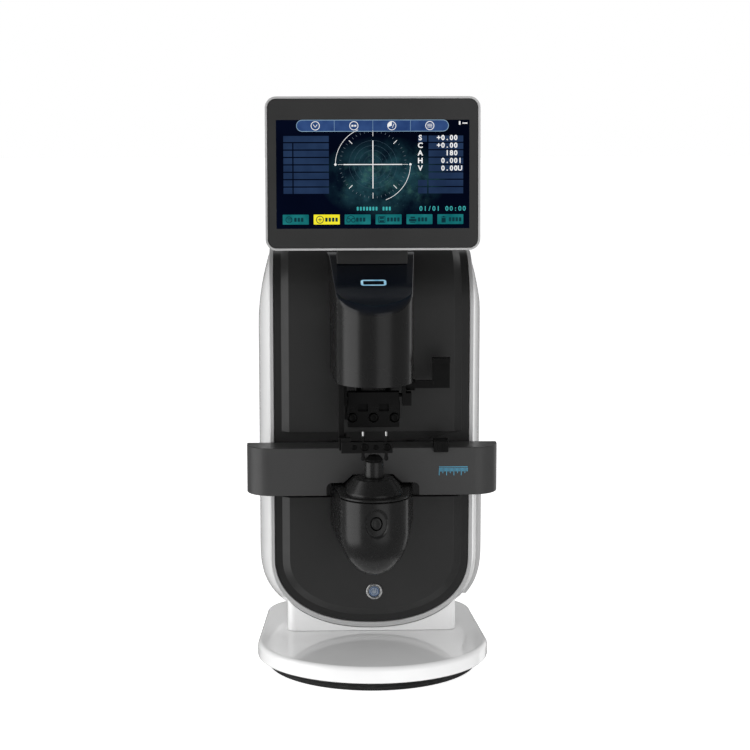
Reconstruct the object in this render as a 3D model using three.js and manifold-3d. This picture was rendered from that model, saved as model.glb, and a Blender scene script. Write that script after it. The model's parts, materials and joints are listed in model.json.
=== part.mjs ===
// Automatic lensmeter: a bench instrument that measures spectacle lenses.
// Millimetres, +Z up, -Y towards the user.  The origin is the middle of the foot disc on the table top.
// The lens lies on the nose of the lower housing, the light comes down from the head above it.

import * as THREE from 'three';
import { mergeVertices } from 'three/addons/utils/BufferGeometryUtils.js';
import Module from 'manifold-3d';

const wasm = await Module();
wasm.setup();

// ---------------------------------------------------------------- driving dimensions

const GAP = 0.3;                 // clearance between separate pieces
const ROUND = 28;                // segments on a visible round piece
const SMALL_ROUND = 16;          // segments on a small round piece
const AXIS_Y = -47;              // optical axis, at x = 0

// What stands in the back of the instrument, behind its rear cover.
const rearCover = { thickness: 3.8, screwX: 64, screwTop: 300, screwBottom: 78, ventHalfWidth: 40, ventBottom: 240,
  ventRise: 54, ventHeight: 3 };
const socket = { left: -52, right: -22, bottom: 56, top: 78, corner: 3, depth: 16, play: 0.4 };
const port = { left: 8, right: 28, bottom: 60, top: 74, corner: 2, depth: 14, play: 0.4 };
const chassis = { front: 24.5, rear: 27.5, halfWidth: 66, bottom: 60, top: 312, corner: 20 };
const board = { left: -60, right: 40, front: 92, rear: 93.6, bottom: 190, top: 296 };

const foot = { radius: 87, height: 8, edge: 1.2 };
const base = { bottom: 8.3, top: 22, halfWidth: 95, rearHalfWidth: 88, front: -96, rear: 118, rim: 4 };
const pedestal = { halfWidth: 70.5, front: 11, rear: 98, bottom: 22.3, top: 66, corner: 7 };

// The body: a front sheet that stands upright, rolls back over a radius and lies flat on top.
const body = {
  front: 10, rollRadius: 45, rollCentreY: 55, rollCentreZ: 292, rear: 108,
  rearRound: 14, wall: 3, mouth: 84, bulge: 9.5, bulgeDepth: 56,
  bottomCentre: 86, bottomDrop: 61, frontPower: 2.2, deepPower: 2.9, topRear: 80,
};
const panel = { halfWidth: 80.3, drop: 55.7, thickness: 3, raise: 4, bevelOuter: 74.3, bevelInner: 68 };
const channel = { bottom: 138, top: 193 };
const trim = { inner: 80.6, innerDrop: 56, outer: 83.8, outerDrop: 60.2, proud: 0.6, depth: 4 };

const head = {
  radius: 31, rearHalfWidth: 36.5, rear: 40, bottom: 244, facetFront: 306.3, facetSlope: 20, top: 338.5,
  wall: 2.5,
};
const light = { y: -35, halfWidth: 10.2, halfLength: 4.6 };
const lamp = { radius: 10.5, bottom: 250, top: 300 };
const neck = { halfWidth: 28.7, front: -5, rear: 19, top: 364, tongue: 18.4 };
const tilt = { y: 7, z: 378, pin: 3, knuckle: 8 };
const screen = {
  width: 171.8, height: 122.3, corner: 9, border: 1.7, lean: 4.4, frontY: -22, centreZ: 407.9,
  frameDepth: 9, backDepth: 17, activeWidth: 154, activeHeight: 86, activeRise: 1,
};

const housing = { radius: 28.4, flare: 1.2, bottom: 86, straight: 122, top: 150.4, power: 1.9, wall: 2.5 };
const cap = {
  bottom: 150.9, rim: 152.6, ledge: 153.6, shoulder: 155, top: 166, rimRadius: 28.2, neckRadius: 23, topRadius: 15.2,
  ridgeHalfWidth: 22.5, ridgeTopHalfWidth: 15.2, ridgeTop: 161.9,
};
const nose = { radius: 7.7, bore: 4.5, bottom: 166.3, top: 180, tipTop: 184.2, tipRadius: 4.2 };

const table = {
  halfWidth: 102.8, front: -20, rear: 6.5, bottom: 145, top: 184.5, corner: 20, wall: 3,
  cutHalfWidth: 37.5, cutTop: 155.5, notchHalfWidth: 23.4, notchTopHalfWidth: 16.4, notchTop: 162.4,
};
const rod = { x: 31, z: 176, radius: 4, rear: 54, flange: 9.3 };
const clamp = { barFront: -61.5, barRear: -55.5, bottom: 188.6, top: 197.4, left: -26.7, right: 14.2, pinX: 9.2 };
const marker = { shaftY: -29, shaftZ: 230, pens: [-17, 0, 17], drop: 18, reach: 29, halfWidth: 20.8 };
const lever = { y: -20, z: 237, armEnd: 48, paddleEnd: 62.3, paddleTop: 259 };
const rodGuide = { x: 12, y: -14, radius: 3 };
const power = { x: 2, z: 57.4, ring: 6.9, barrel: 6 };
const read = { x: 1, z: 133.6, halfWidth: 4.4, halfHeight: 5.3, dishHalfWidth: 9, dishHalfHeight: 11.5 };
const door = { front: 34, rear: 90, bottom: 46, top: 138, proud: 2.2, thickness: 2.2, corner: 7 };
const paper = { x: 57, y: 62, z: 98, radius: 20, length: 57 };
const platen = { x: 78, z: 126, radius: 5, length: 56 };

// ---------------------------------------------------------------- materials

function material(color, roughness, metalness = 0) {
  return () => new THREE.MeshStandardMaterial({ color, roughness, metalness });
}

const whiteGloss = material('#f2f2f0', 0.18);
const blackSatin = material('#1c1c1e', 0.42);
const blackGloss = material('#141416', 0.25);
const blackMatte = material('#111112', 0.6);
const silver = material('#c9cacb', 0.3, 0.7);
const steel = material('#b9bbbd', 0.25, 1);
const chrome = material('#e6e7e8', 0.08, 1);
const rubber = material('#0e0e0e', 0.85);
const castIron = material('#3a3b3d', 0.7, 0.6);
const greyPlastic = material('#b7b8b8', 0.4);
const lightBlue = material('#5cc3ee', 0.3);
const glass = material('#0a0d14', 0.05);
const boardGreen = material('#1d5a3a', 0.55);
const paperWhite = material('#f4f2ea', 0.9);
const aluminium = material('#9fa2a5', 0.4, 0.9);

// ---------------------------------------------------------------- solids

const lensmeter = new THREE.Group();

function solid(geometry) {
  const bare = geometry.clone();
  bare.deleteAttribute('normal');
  bare.deleteAttribute('uv');
  const merged = mergeVertices(bare, 1e-4);
  return new wasm.Manifold(new wasm.Mesh({
    numProp: 3,
    vertProperties: new Float32Array(merged.attributes.position.array),
    triVerts: new Uint32Array(merged.index.array),
  }));
}

function surface(shape) {
  const mesh = shape.getMesh();
  const geometry = new THREE.BufferGeometry();
  geometry.setAttribute('position', new THREE.BufferAttribute(mesh.vertProperties, 3));
  geometry.setIndex(new THREE.BufferAttribute(mesh.triVerts, 1));
  geometry.computeVertexNormals();
  return geometry;
}

function add(name, shape, makeMaterial, parent = lensmeter) {
  const mesh = new THREE.Mesh(shape.getMesh ? surface(shape) : shape, makeMaterial());
  mesh.name = name;
  parent.add(mesh);
  return mesh;
}

function cut(shape, ...tools) {
  return tools.reduce((left, tool) => left.subtract(tool), shape);
}

function join(shape, ...others) {
  return others.reduce((left, other) => left.add(other), shape);
}

function box(x0, x1, y0, y1, z0, z1) {
  const geometry = new THREE.BoxGeometry(x1 - x0, y1 - y0, z1 - z0);
  geometry.translate((x0 + x1) / 2, (y0 + y1) / 2, (z0 + z1) / 2);
  return solid(geometry);
}

// A round bar from one level to another along an axis, centred on the two other coordinates.
function bar(axis, radius, from, to, a, b, segments = SMALL_ROUND) {
  const geometry = new THREE.CylinderGeometry(radius, radius, to - from, segments);
  const middle = (from + to) / 2;
  if (axis === 'x') {
    geometry.rotateZ(-Math.PI / 2);
    geometry.translate(middle, a, b);
  } else if (axis === 'y') {
    geometry.translate(a, middle, b);
  } else {
    geometry.rotateX(Math.PI / 2);
    geometry.translate(a, b, middle);
  }
  return solid(geometry);
}

// A body of revolution about a vertical axis, from [radius, height] points.
function turned(profile, x = 0, y = 0, segments = ROUND) {
  const points = profile.map(([radius, height]) => new THREE.Vector2(radius, height));
  const geometry = new THREE.LatheGeometry(points, segments);
  geometry.rotateX(Math.PI / 2);
  geometry.translate(x, y, 0);
  return solid(geometry);
}

function shapeOf(points) {
  return new THREE.Shape(points.map(([a, b]) => new THREE.Vector2(a, b)));
}

// An outline pushed along one axis.  Its points are (y, z), (x, z) or (x, y) for axis x, y or z.
function prism(axis, outline, from, to) {
  const shape = outline instanceof THREE.Shape ? outline : shapeOf(outline);
  const geometry = new THREE.ExtrudeGeometry(shape, { depth: to - from, bevelEnabled: false, curveSegments: 4 });
  if (axis === 'x') {
    const [x, y, z] = [new THREE.Vector3(1, 0, 0), new THREE.Vector3(0, 1, 0), new THREE.Vector3(0, 0, 1)];
    geometry.applyMatrix4(new THREE.Matrix4().makeBasis(y, z, x));
    geometry.translate(from, 0, 0);
  } else if (axis === 'y') {
    geometry.rotateX(Math.PI / 2);
    geometry.translate(0, to, 0);
  } else {
    geometry.translate(0, 0, from);
  }
  return solid(geometry);
}

function roundedRectangle(x0, x1, y0, y1, radius) {
  const shape = new THREE.Shape();
  shape.moveTo(x0 + radius, y0);
  shape.lineTo(x1 - radius, y0);
  shape.absarc(x1 - radius, y0 + radius, radius, -Math.PI / 2, 0, false);
  shape.lineTo(x1, y1 - radius);
  shape.absarc(x1 - radius, y1 - radius, radius, 0, Math.PI / 2, false);
  shape.lineTo(x0 + radius, y1);
  shape.absarc(x0 + radius, y1 - radius, radius, Math.PI / 2, Math.PI, false);
  shape.lineTo(x0, y0 + radius);
  shape.absarc(x0 + radius, y0 + radius, radius, Math.PI, Math.PI * 1.5, false);
  return shape;
}

function ellipse(x, y, halfWidth, halfHeight) {
  const shape = new THREE.Shape();
  shape.absellipse(x, y, halfWidth, halfHeight, 0, Math.PI * 2, false, 0);
  return shape;
}

// Skins a row of rings of the same number of points and closes both ends with a fan.
function skin(rings) {
  const count = rings[0].length;
  const positions = rings.flat(2);
  const index = [];
  for (let row = 0; row + 1 < rings.length; row += 1) {
    for (let i = 0; i < count; i += 1) {
      const next = (i + 1) % count;
      const [a, b] = [row * count + i, row * count + next];
      const [c, d] = [a + count, b + count];
      index.push(a, b, d, a, d, c);
    }
  }
  for (const [row, forward] of [[0, false], [rings.length - 1, true]]) {
    const ring = rings[row];
    const centre = [0, 1, 2].map((k) => ring.reduce((sum, point) => sum + point[k], 0) / count);
    const middle = positions.length / 3;
    positions.push(...centre);
    for (let i = 0; i < count; i += 1) {
      const [a, b] = [row * count + i, row * count + (i + 1) % count];
      index.push(...(forward ? [middle, a, b] : [middle, b, a]));
    }
  }
  const geometry = new THREE.BufferGeometry();
  geometry.setAttribute('position', new THREE.Float32BufferAttribute(positions, 3));
  geometry.setIndex(index);
  const shape = solid(geometry);
  if (shape.volume() > 0) return shape;
  const flipped = [];
  for (let i = 0; i < index.length; i += 3) flipped.push(index[i], index[i + 2], index[i + 1]);
  geometry.setIndex(flipped);
  return solid(geometry);
}

function range(count) {
  return Array.from({ length: count + 1 }, (_, i) => i / count);
}

// ---------------------------------------------------------------- body surfaces

// The lower half of the body's outline is a superellipse, given as x, z points from right to left.
function lowerCurve(halfWidth, drop, exponent, steps) {
  return range(steps).map((t) => {
    const angle = t * Math.PI;
    const [c, s] = [Math.cos(angle), Math.sin(angle)];
    const x = halfWidth * Math.sign(c) * Math.abs(c) ** (2 / exponent);
    const z = body.bottomCentre - drop * Math.abs(s) ** (2 / exponent);
    return [Math.abs(c) < 1e-9 ? 0 : x, z];
  });
}

// An upright outline with a rounded lower end, cut off level at the top.
function frontOutline(halfWidth, drop, top, exponent = body.frontPower) {
  return [[halfWidth, top], ...lowerCurve(halfWidth, drop, exponent, 36), [-halfWidth, top]];
}

// The side profile of everything that lies deeper than a depth behind the front sheet.
function profileBehind(depth, rear) {
  const radius = body.rollRadius - depth;
  const arc = range(10).map((t) => {
    const angle = Math.PI - t * Math.PI / 2;
    return [body.rollCentreY + radius * Math.cos(angle), body.rollCentreZ + radius * Math.sin(angle)];
  });
  return [[rear, 0], [body.front + depth, 0], ...arc, [rear, body.rollCentreZ + radius]].reverse();
}

function frontSheet(outer, inner, rear) {
  const behindOuter = prism('x', profileBehind(outer, rear), -120, 120);
  const behindInner = prism('x', profileBehind(inner, rear + 1), -121, 121);
  return behindOuter.subtract(behindInner);
}

function depthBehindFront(y, z) {
  const [dy, dz] = [body.rollCentreY - y, z - body.rollCentreZ];
  if (dz > 0 && dy > 0) return body.rollRadius - Math.hypot(dy, dz);
  return Math.min(y - body.front, body.rollRadius - dz);
}

function bulgeShare(depth) {
  const share = Math.min(Math.max((depth - trim.depth) / body.bulgeDepth, 0), 1);
  return 1 - (1 - share) ** 1.8;
}

function rearRounding(y) {
  const past = y - (body.rear - body.rearRound);
  return past > 0 ? body.rearRound - Math.sqrt(Math.max(body.rearRound ** 2 - past ** 2, 0)) : 0;
}

function bodyTop(y) {
  const dy = body.rollCentreY - y;
  return body.rollCentreZ + (dy > 0 ? Math.sqrt(Math.max(body.rollRadius ** 2 - dy ** 2, 0)) : body.rollRadius);
}

// One slice of the body at a depth y, made smaller all round by an inset.
function bodySlice(y, inset) {
  const shrink = inset + rearRounding(y);
  const share = bulgeShare(depthBehindFront(y, body.bottomCentre));
  const exponent = body.frontPower + (body.deepPower - body.frontPower) * share;
  const halfWidth = body.mouth + body.bulge * share - shrink;
  const lower = lowerCurve(halfWidth, body.bottomDrop - shrink, exponent, 20);
  const top = bodyTop(y) - shrink;
  const sideSteps = range(6).slice(1).map((t) => 1 - (1 - t) ** 1.7);
  const side = sideSteps.map((t) => {
    const z = body.bottomCentre + (top - body.bottomCentre) * t;
    return [body.mouth + body.bulge * bulgeShare(depthBehindFront(y, z + shrink)) - shrink, z];
  });
  const right = [...side].reverse();
  const left = side.map(([x, z]) => [-x, z]);
  return [...right, ...lower, ...left].map(([x, z]) => [x, y, z]);
}

function bodySolid(inset, from = body.front + 0.01, to = body.rear) {
  const straight = [14, 20, 28, 40, 55, 72, body.rear - body.rearRound];
  const rounding = [0.5, 0.85].map((t) => body.rear - body.rearRound * (1 - t));
  const stations = [from, ...straight.filter((y) => y > from), ...rounding, body.rear - 0.01];
  const rings = stations.map((y) => bodySlice(y, inset));
  if (to > body.rear) rings.push(rings.at(-1).map(([x, , z]) => [x, to, z]));
  return skin(rings);
}

// The two raised fields of the front panel, with a slope at their edges.
function lowerField(proud) {
  const shrink = panel.bevelOuter - panel.bevelInner;
  const edge = panel.halfWidth - panel.bevelOuter;
  const levels = [
    [body.front + 1, panel.bevelOuter, panel.drop - edge],
    [body.front, panel.bevelOuter, panel.drop - edge],
    [body.front - proud, panel.bevelInner, panel.drop - edge - shrink],
  ];
  const rings = levels.map(([y, halfWidth, drop]) => frontOutline(halfWidth, drop, channel.bottom)
    .map(([x, z]) => [x, y, z]));
  return skin(rings);
}

function upperField(proud) {
  const path = [[body.front, channel.top, 0], [body.front, body.rollCentreZ - 4, 0]];
  for (const t of range(10)) {
    const angle = t * Math.PI / 2;
    path.push([
      body.rollCentreY - body.rollRadius * Math.cos(angle),
      body.rollCentreZ + body.rollRadius * Math.sin(angle),
      angle,
    ]);
  }
  path.push([body.topRear - 3, body.rollCentreZ + body.rollRadius, Math.PI / 2]);
  const section = [
    [-panel.bevelOuter, -1], [-panel.bevelOuter, 0], [-panel.bevelInner, proud],
    [panel.bevelInner, proud], [panel.bevelOuter, 0], [panel.bevelOuter, -1],
  ];
  const rings = path.map(([y, z, angle]) => section.map(([x, height]) => [
    x, y - height * Math.cos(angle), z + height * Math.sin(angle),
  ]));
  return skin(rings);
}

// ---------------------------------------------------------------- foot, base and pedestal

function basePlan(grow) {
  const front = range(28).map((t) => {
    const angle = Math.PI + t * Math.PI;
    const reach = -base.front - 10;
    return [(base.halfWidth + grow) * Math.cos(angle), -10 + (reach + grow) * Math.sin(angle)];
  });
  const corner = 36 + grow;
  const [cx, cy] = [base.rearHalfWidth - 36, base.rear - 36];
  const right = range(8).map((t) => [cx + corner * Math.cos(t * Math.PI / 2), cy + corner * Math.sin(t * Math.PI / 2)]);
  const left = [...right].reverse().map(([x, y]) => [-x, y]);
  return [...front, ...right, ...left];
}

function buildBase() {
  const footProfile = [
    [0, 0], [foot.radius - foot.edge, 0], [foot.radius, foot.edge],
    [foot.radius, foot.height - foot.edge], [foot.radius - foot.edge, foot.height], [0, foot.height],
  ];
  add('foot_disc', turned(footProfile, 0, 0, 40), rubber);

  const height = base.top - base.bottom;
  const levels = [[0, -1.5], [1.5, 0], [height - base.rim, 0], [height - base.rim * 0.35, -base.rim * 0.25],
    [height, -base.rim]];
  const outer = skin(levels.map(([z, grow]) => basePlan(grow).map(([x, y]) => [x, y, base.bottom + z])));
  const pocket = bar('z', 76, base.bottom - 1, base.top - 4, 0, 8, 36);
  add('base_plate', cut(outer, pocket), whiteGloss);
  add('ballast_disc', bar('z', 75.5, base.bottom, base.top - 4.3, 0, 8, 36), castIron);

  const column = prism('z', roundedRectangle(-pedestal.halfWidth, pedestal.halfWidth, pedestal.front,
    pedestal.rear, pedestal.corner), pedestal.bottom, pedestal.top);
  add('pedestal', cut(column, bodySolid(-GAP)), whiteGloss);
}

// ---------------------------------------------------------------- body

function doorOutline(grow) {
  return roundedRectangle(door.front - grow, door.rear + grow, door.bottom - grow, door.top + grow,
    door.corner + grow);
}

function connectorOutline(place, inset) {
  return roundedRectangle(place.left + inset, place.right - inset, place.bottom + inset, place.top - inset,
    Math.max(place.corner - inset, 0.8));
}

// A block in the rear cover with a recess in its face.
function connector(place, wall, recess) {
  return cut(
    prism('y', connectorOutline(place, place.play), body.rear - place.depth, body.rear + 0.5),
    prism('y', connectorOutline(place, wall), body.rear - recess, body.rear + 2),
  );
}

function buildBody() {
  const cavity = bodySolid(body.wall, body.front + 0.01, body.rear + 4);
  const behindTrim = join(
    prism('x', profileBehind(trim.depth + GAP, body.rear + 20), -130, 130),
    box(-130, 130, body.topRear + 4 + GAP, body.rear + 20, 200, 400),
  );
  const shell = bodySolid(0).intersect(behindTrim);
  const doorHole = prism('x', doorOutline(0.5), 70, 110);
  add('body_shell', cut(shell, cavity, doorHole), whiteGloss);

  const doorSkin = cut(bodySolid(-door.proud), bodySolid(door.thickness));
  const hinged = new THREE.Group();
  lensmeter.add(hinged);
  add('printer_door', doorSkin.intersect(prism('x', doorOutline(0), 60, 110)), greyPlastic, hinged);

  const rearSlice = bodySlice(body.rear - 0.01, body.wall + 0.4).map(([x, , z]) => [x, z]);
  const vents = range(6).map((t) => {
    const low = rearCover.ventBottom + t * rearCover.ventRise;
    const half = rearCover.ventHalfWidth;
    return box(-half, half, body.rear - 18, body.rear + 12, low, low + rearCover.ventHeight);
  });
  const plate = prism('y', rearSlice, body.rear - 0.2 - rearCover.thickness, body.rear - 0.2);
  const { screwX, screwTop, screwBottom } = rearCover;
  const screwPlaces = [[-screwX, screwTop], [screwX, screwTop], [-screwX, screwBottom], [screwX, screwBottom]];
  const screwHoles = screwPlaces.map(([x, z]) => bar('y', 2.3, body.rear - 18, body.rear + 12, x, z));
  const rearHoles = [connectorOutline(socket, 0), connectorOutline(port, 0)]
    .map((outline) => prism('y', outline, body.rear - 18, body.rear + 12));
  add('rear_cover', cut(plate, ...rearHoles, ...vents, ...screwHoles), whiteGloss);
  screwPlaces.forEach(([x, z], i) => {
    const shank = bar('y', 2, body.rear - 10, body.rear, x, z);
    const top = bar('y', 3.8, body.rear, body.rear + 1.6, x, z);
    const slot = box(x - 2.4, x + 2.4, body.rear + 0.8, body.rear + 3, z - 0.5, z + 0.5);
    add(`rear_screw_${i + 1}`, cut(join(shank, top), slot), steel);
  });
  add('power_socket', connector(socket, 4.6, 8), blackMatte);
  add('data_port', connector(port, 2.6, 7), steel);
}

function buildFront() {
  const sheet = frontSheet(0, panel.thickness, body.topRear)
    .intersect(prism('y', frontOutline(panel.halfWidth, panel.drop, 400), 0, 200));
  const holes = [
    bar('y', 6.3, 0, 20, -rod.x, rod.z), bar('y', 6.3, 0, 20, rod.x, rod.z),
    bar('y', power.barrel + 0.3, 0, 20, power.x, power.z, ROUND),
  ];
  add('front_panel', cut(join(sheet, lowerField(panel.raise), upperField(panel.raise)), ...holes), blackSatin);

  const ring = cut(
    prism('y', frontOutline(trim.outer, trim.outerDrop, 400), -5, 120),
    prism('y', frontOutline(trim.inner, trim.innerDrop, 410), -6, body.topRear + GAP),
  );
  const band = frontSheet(-trim.proud, trim.depth, body.topRear + 4);
  add('trim_ring', ring.intersect(band), silver);

  const plateHoles = [bar('y', 5, 0, 60, -rod.x, rod.z), bar('y', 5, 0, 60, rod.x, rod.z)];
  const window = prism('y', roundedRectangle(-40, 40, 205, 280, 12), 0, 60);
  const plate = prism('y', roundedRectangle(-chassis.halfWidth, chassis.halfWidth, chassis.bottom, chassis.top,
    chassis.corner), chassis.front, chassis.rear);
  add('chassis_plate', cut(plate, ...plateHoles, window), aluminium);
  add('main_board', box(board.left, board.right, board.front, board.rear, board.bottom, board.top), boardGreen);
}

// ---------------------------------------------------------------- head and lamp

// Plan of the head: a half circle in front, sides that spread towards the body.
function headPlan(inset) {
  const radius = head.radius - inset;
  const front = range(22).map((t) => {
    const angle = Math.PI + t * Math.PI;
    return [radius * Math.cos(angle), AXIS_Y + radius * Math.sin(angle)];
  });
  return [...front, [head.rearHalfWidth - inset, head.rear], [-head.rearHalfWidth + inset, head.rear]];
}

function underFacet(drop) {
  const slope = Math.tan(THREE.MathUtils.degToRad(head.facetSlope));
  const frontY = AXIS_Y - head.radius;
  const flatStart = frontY + (head.top - head.facetFront) / slope;
  return [
    [-100, 200], [80, 200], [80, head.top - drop], [flatStart, head.top - drop],
    [-100, head.facetFront - slope * (100 + frontY) - drop],
  ];
}

function headOuter(lift) {
  const roof = prism('x', underFacet(-lift), -100, 100);
  return prism('z', headPlan(-lift), head.bottom, 400).intersect(roof);
}

// Everything behind the surface of the front panel, with a small clearance.
function frontBlock(clearance) {
  const behind = prism('x', profileBehind(-clearance, 200), -90, 90);
  return join(behind, lowerField(panel.raise + clearance), upperField(panel.raise + clearance));
}

function buildHead() {
  const block = frontBlock(GAP);
  const cavity = prism('z', headPlan(head.wall), head.bottom + 2, 400)
    .intersect(prism('x', underFacet(head.wall), -100, 100));
  const openings = [
    box(-27.5, 27.5, -37.5, -4, head.bottom - 5, head.bottom + 5),
    bar('z', lamp.radius + 0.8, head.bottom - 5, head.bottom + 5, 0, AXIS_Y, ROUND),
    box(-29, -23, -47.5, -34, head.bottom - 5, head.bottom + 5),
  ];
  const facetLevel = facetHeight(light.y);
  const lightHole = prism('z', roundedRectangle(-light.halfWidth - 0.2, light.halfWidth + 0.2,
    light.y - light.halfLength - 0.2, light.y + light.halfLength + 0.2, 2.7), facetLevel - 20, facetLevel + 20);
  add('head_cover', cut(headOuter(0), block, cavity, lightHole, ...openings), blackSatin);

  const lightBar = prism('z', roundedRectangle(-light.halfWidth, light.halfWidth, light.y - light.halfLength,
    light.y + light.halfLength, 2.5), facetLevel - 8, facetLevel + 20);
  add('indicator_light', lightBar.intersect(prism('x', underFacet(0.2), -100, 100)), lightBlue);

  const bracket = join(box(-24, 24, 2.5, 5.6, 252, 320), box(-16, 16, -62, 3, 286, 290));
  add('head_bracket', cut(bracket, bar('z', lamp.radius + 0.2, 280, 300, 0, AXIS_Y, ROUND), block), aluminium);
  const lampProfile = [
    [0, lamp.bottom + 4], [7, lamp.bottom + 4], [7, lamp.bottom], [lamp.radius, lamp.bottom],
    [lamp.radius, lamp.top], [0, lamp.top],
  ];
  add('lamp_barrel', turned(lampProfile, 0, AXIS_Y), blackMatte);
  for (const [name, x] of [['marker_rod_left', -rodGuide.x], ['marker_rod_right', rodGuide.x]]) {
    add(name, bar('z', rodGuide.radius, 227, 285.6, x, rodGuide.y), steel);
  }
}

function facetHeight(y) {
  return head.facetFront + Math.tan(THREE.MathUtils.degToRad(head.facetSlope)) * (y - AXIS_Y + head.radius);
}

// ---------------------------------------------------------------- screen

function buildScreen() {
  const pin = bar('x', tilt.pin, -26.5, 26.5, tilt.y, tilt.z);
  const stand = join(
    box(-neck.halfWidth, neck.halfWidth, neck.front, neck.rear, 320, neck.top),
    box(-neck.tongue, neck.tongue, tilt.y - tilt.knuckle, tilt.y + tilt.knuckle, neck.top - 1, tilt.z),
    bar('x', tilt.knuckle, -neck.tongue, neck.tongue, tilt.y, tilt.z),
  );
  const pinHole = bar('x', tilt.pin + 0.2, -40, 40, tilt.y, tilt.z);
  add('screen_neck', cut(stand, pinHole, headOuter(GAP), frontBlock(GAP)), blackSatin);
  add('tilt_pin', pin, steel);

  const face = new THREE.Group();
  face.position.set(0, screen.frontY, screen.centreZ);
  face.rotation.x = Math.PI / 2 - THREE.MathUtils.degToRad(screen.lean);
  lensmeter.add(face);

  const [w, h, r] = [screen.width / 2, screen.height / 2, screen.corner];
  const plate = (inset, radius, from, to) => prism('z',
    roundedRectangle(-w + inset, w - inset, -h + inset, h - inset, radius), from, to);
  const frame = cut(plate(0, r, -screen.frameDepth, 0), plate(screen.border, r - 1.7, -2.6, 1),
    plate(7, 4, -screen.frameDepth - 1, 1));
  add('screen_frame', frame, silver, face);
  add('screen_glass', plate(screen.border + 0.2, r - 1.9, -2.3, -0.3), glass, face);
  const [aw, ah] = [screen.activeWidth / 2 + 1.5, screen.activeHeight / 2 + 1.5];
  add('display_panel', box(-aw, aw, -ah + screen.activeRise, ah + screen.activeRise, -7.5, -2.6), blackGloss, face);

  const outline = (inset, radius, z) => roundedRectangle(-w + inset, w - inset, -h + inset, h - inset, radius)
    .getPoints(6).slice(0, -1).map((p) => [p.x, p.y, z]);
  const front = -screen.frameDepth - 0.2;
  const outer = skin([outline(0.3, r, front), outline(0.3, r, front - 2.5), outline(5, r, -screen.backDepth)]);
  const inner = skin([outline(2.5, r - 2, front + 1), outline(2.5, r - 2, front - 2),
    outline(7, r - 2, -screen.backDepth + 2.2)]);
  const lean = THREE.MathUtils.degToRad(screen.lean);
  const [dy, dz] = [tilt.y - screen.frontY, tilt.z - screen.centreZ];
  const hingeUp = dy * Math.sin(lean) + dz * Math.cos(lean);
  const hingeBack = dy * Math.cos(lean) - dz * Math.sin(lean);
  const lugs = [-1, 1].map((side) => {
    const [x0, x1] = side < 0 ? [-26.2, -19] : [19, 26.2];
    const arm = box(x0, x1, hingeUp - tilt.knuckle, hingeUp + tilt.knuckle, -hingeBack, -screen.backDepth + 1);
    return join(arm, bar('x', tilt.knuckle, x0, x1, hingeUp, -hingeBack));
  });
  const bore = bar('x', tilt.pin + GAP, -40, 40, hingeUp, -hingeBack);
  add('screen_back', cut(join(cut(outer, inner), ...lugs), bore), blackSatin, face);
}

// ---------------------------------------------------------------- lower housing and nose

// Plan of the lower housing at one level: a half circle in front, spreading sides, flat at the panel.
function housingPlan(radius, z, rear = body.front - panel.raise - GAP, flare = housing.flare) {
  const front = range(18).map((t) => {
    const angle = Math.PI + t * Math.PI;
    return [radius * Math.cos(angle), AXIS_Y + radius * Math.sin(angle), z];
  });
  const wide = radius * flare;
  return [...front, [wide, rear, z], [-wide, rear, z]];
}

function housingSolid(inset, bottom, top) {
  const drop = housing.straight - bottom;
  const round = range(9).slice(0, -1).map((t) => {
    const share = Math.cos(t * Math.PI / 2 + 0.02);
    const radius = (housing.radius - inset) * Math.max(1 - share ** housing.power, 0.0004) ** (1 / housing.power);
    return [radius, housing.straight - drop * share];
  });
  const levels = [...round, [housing.radius - inset, housing.straight], [housing.radius - inset, top]];
  return skin(levels.map(([radius, z]) => housingPlan(radius, z)));
}

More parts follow.
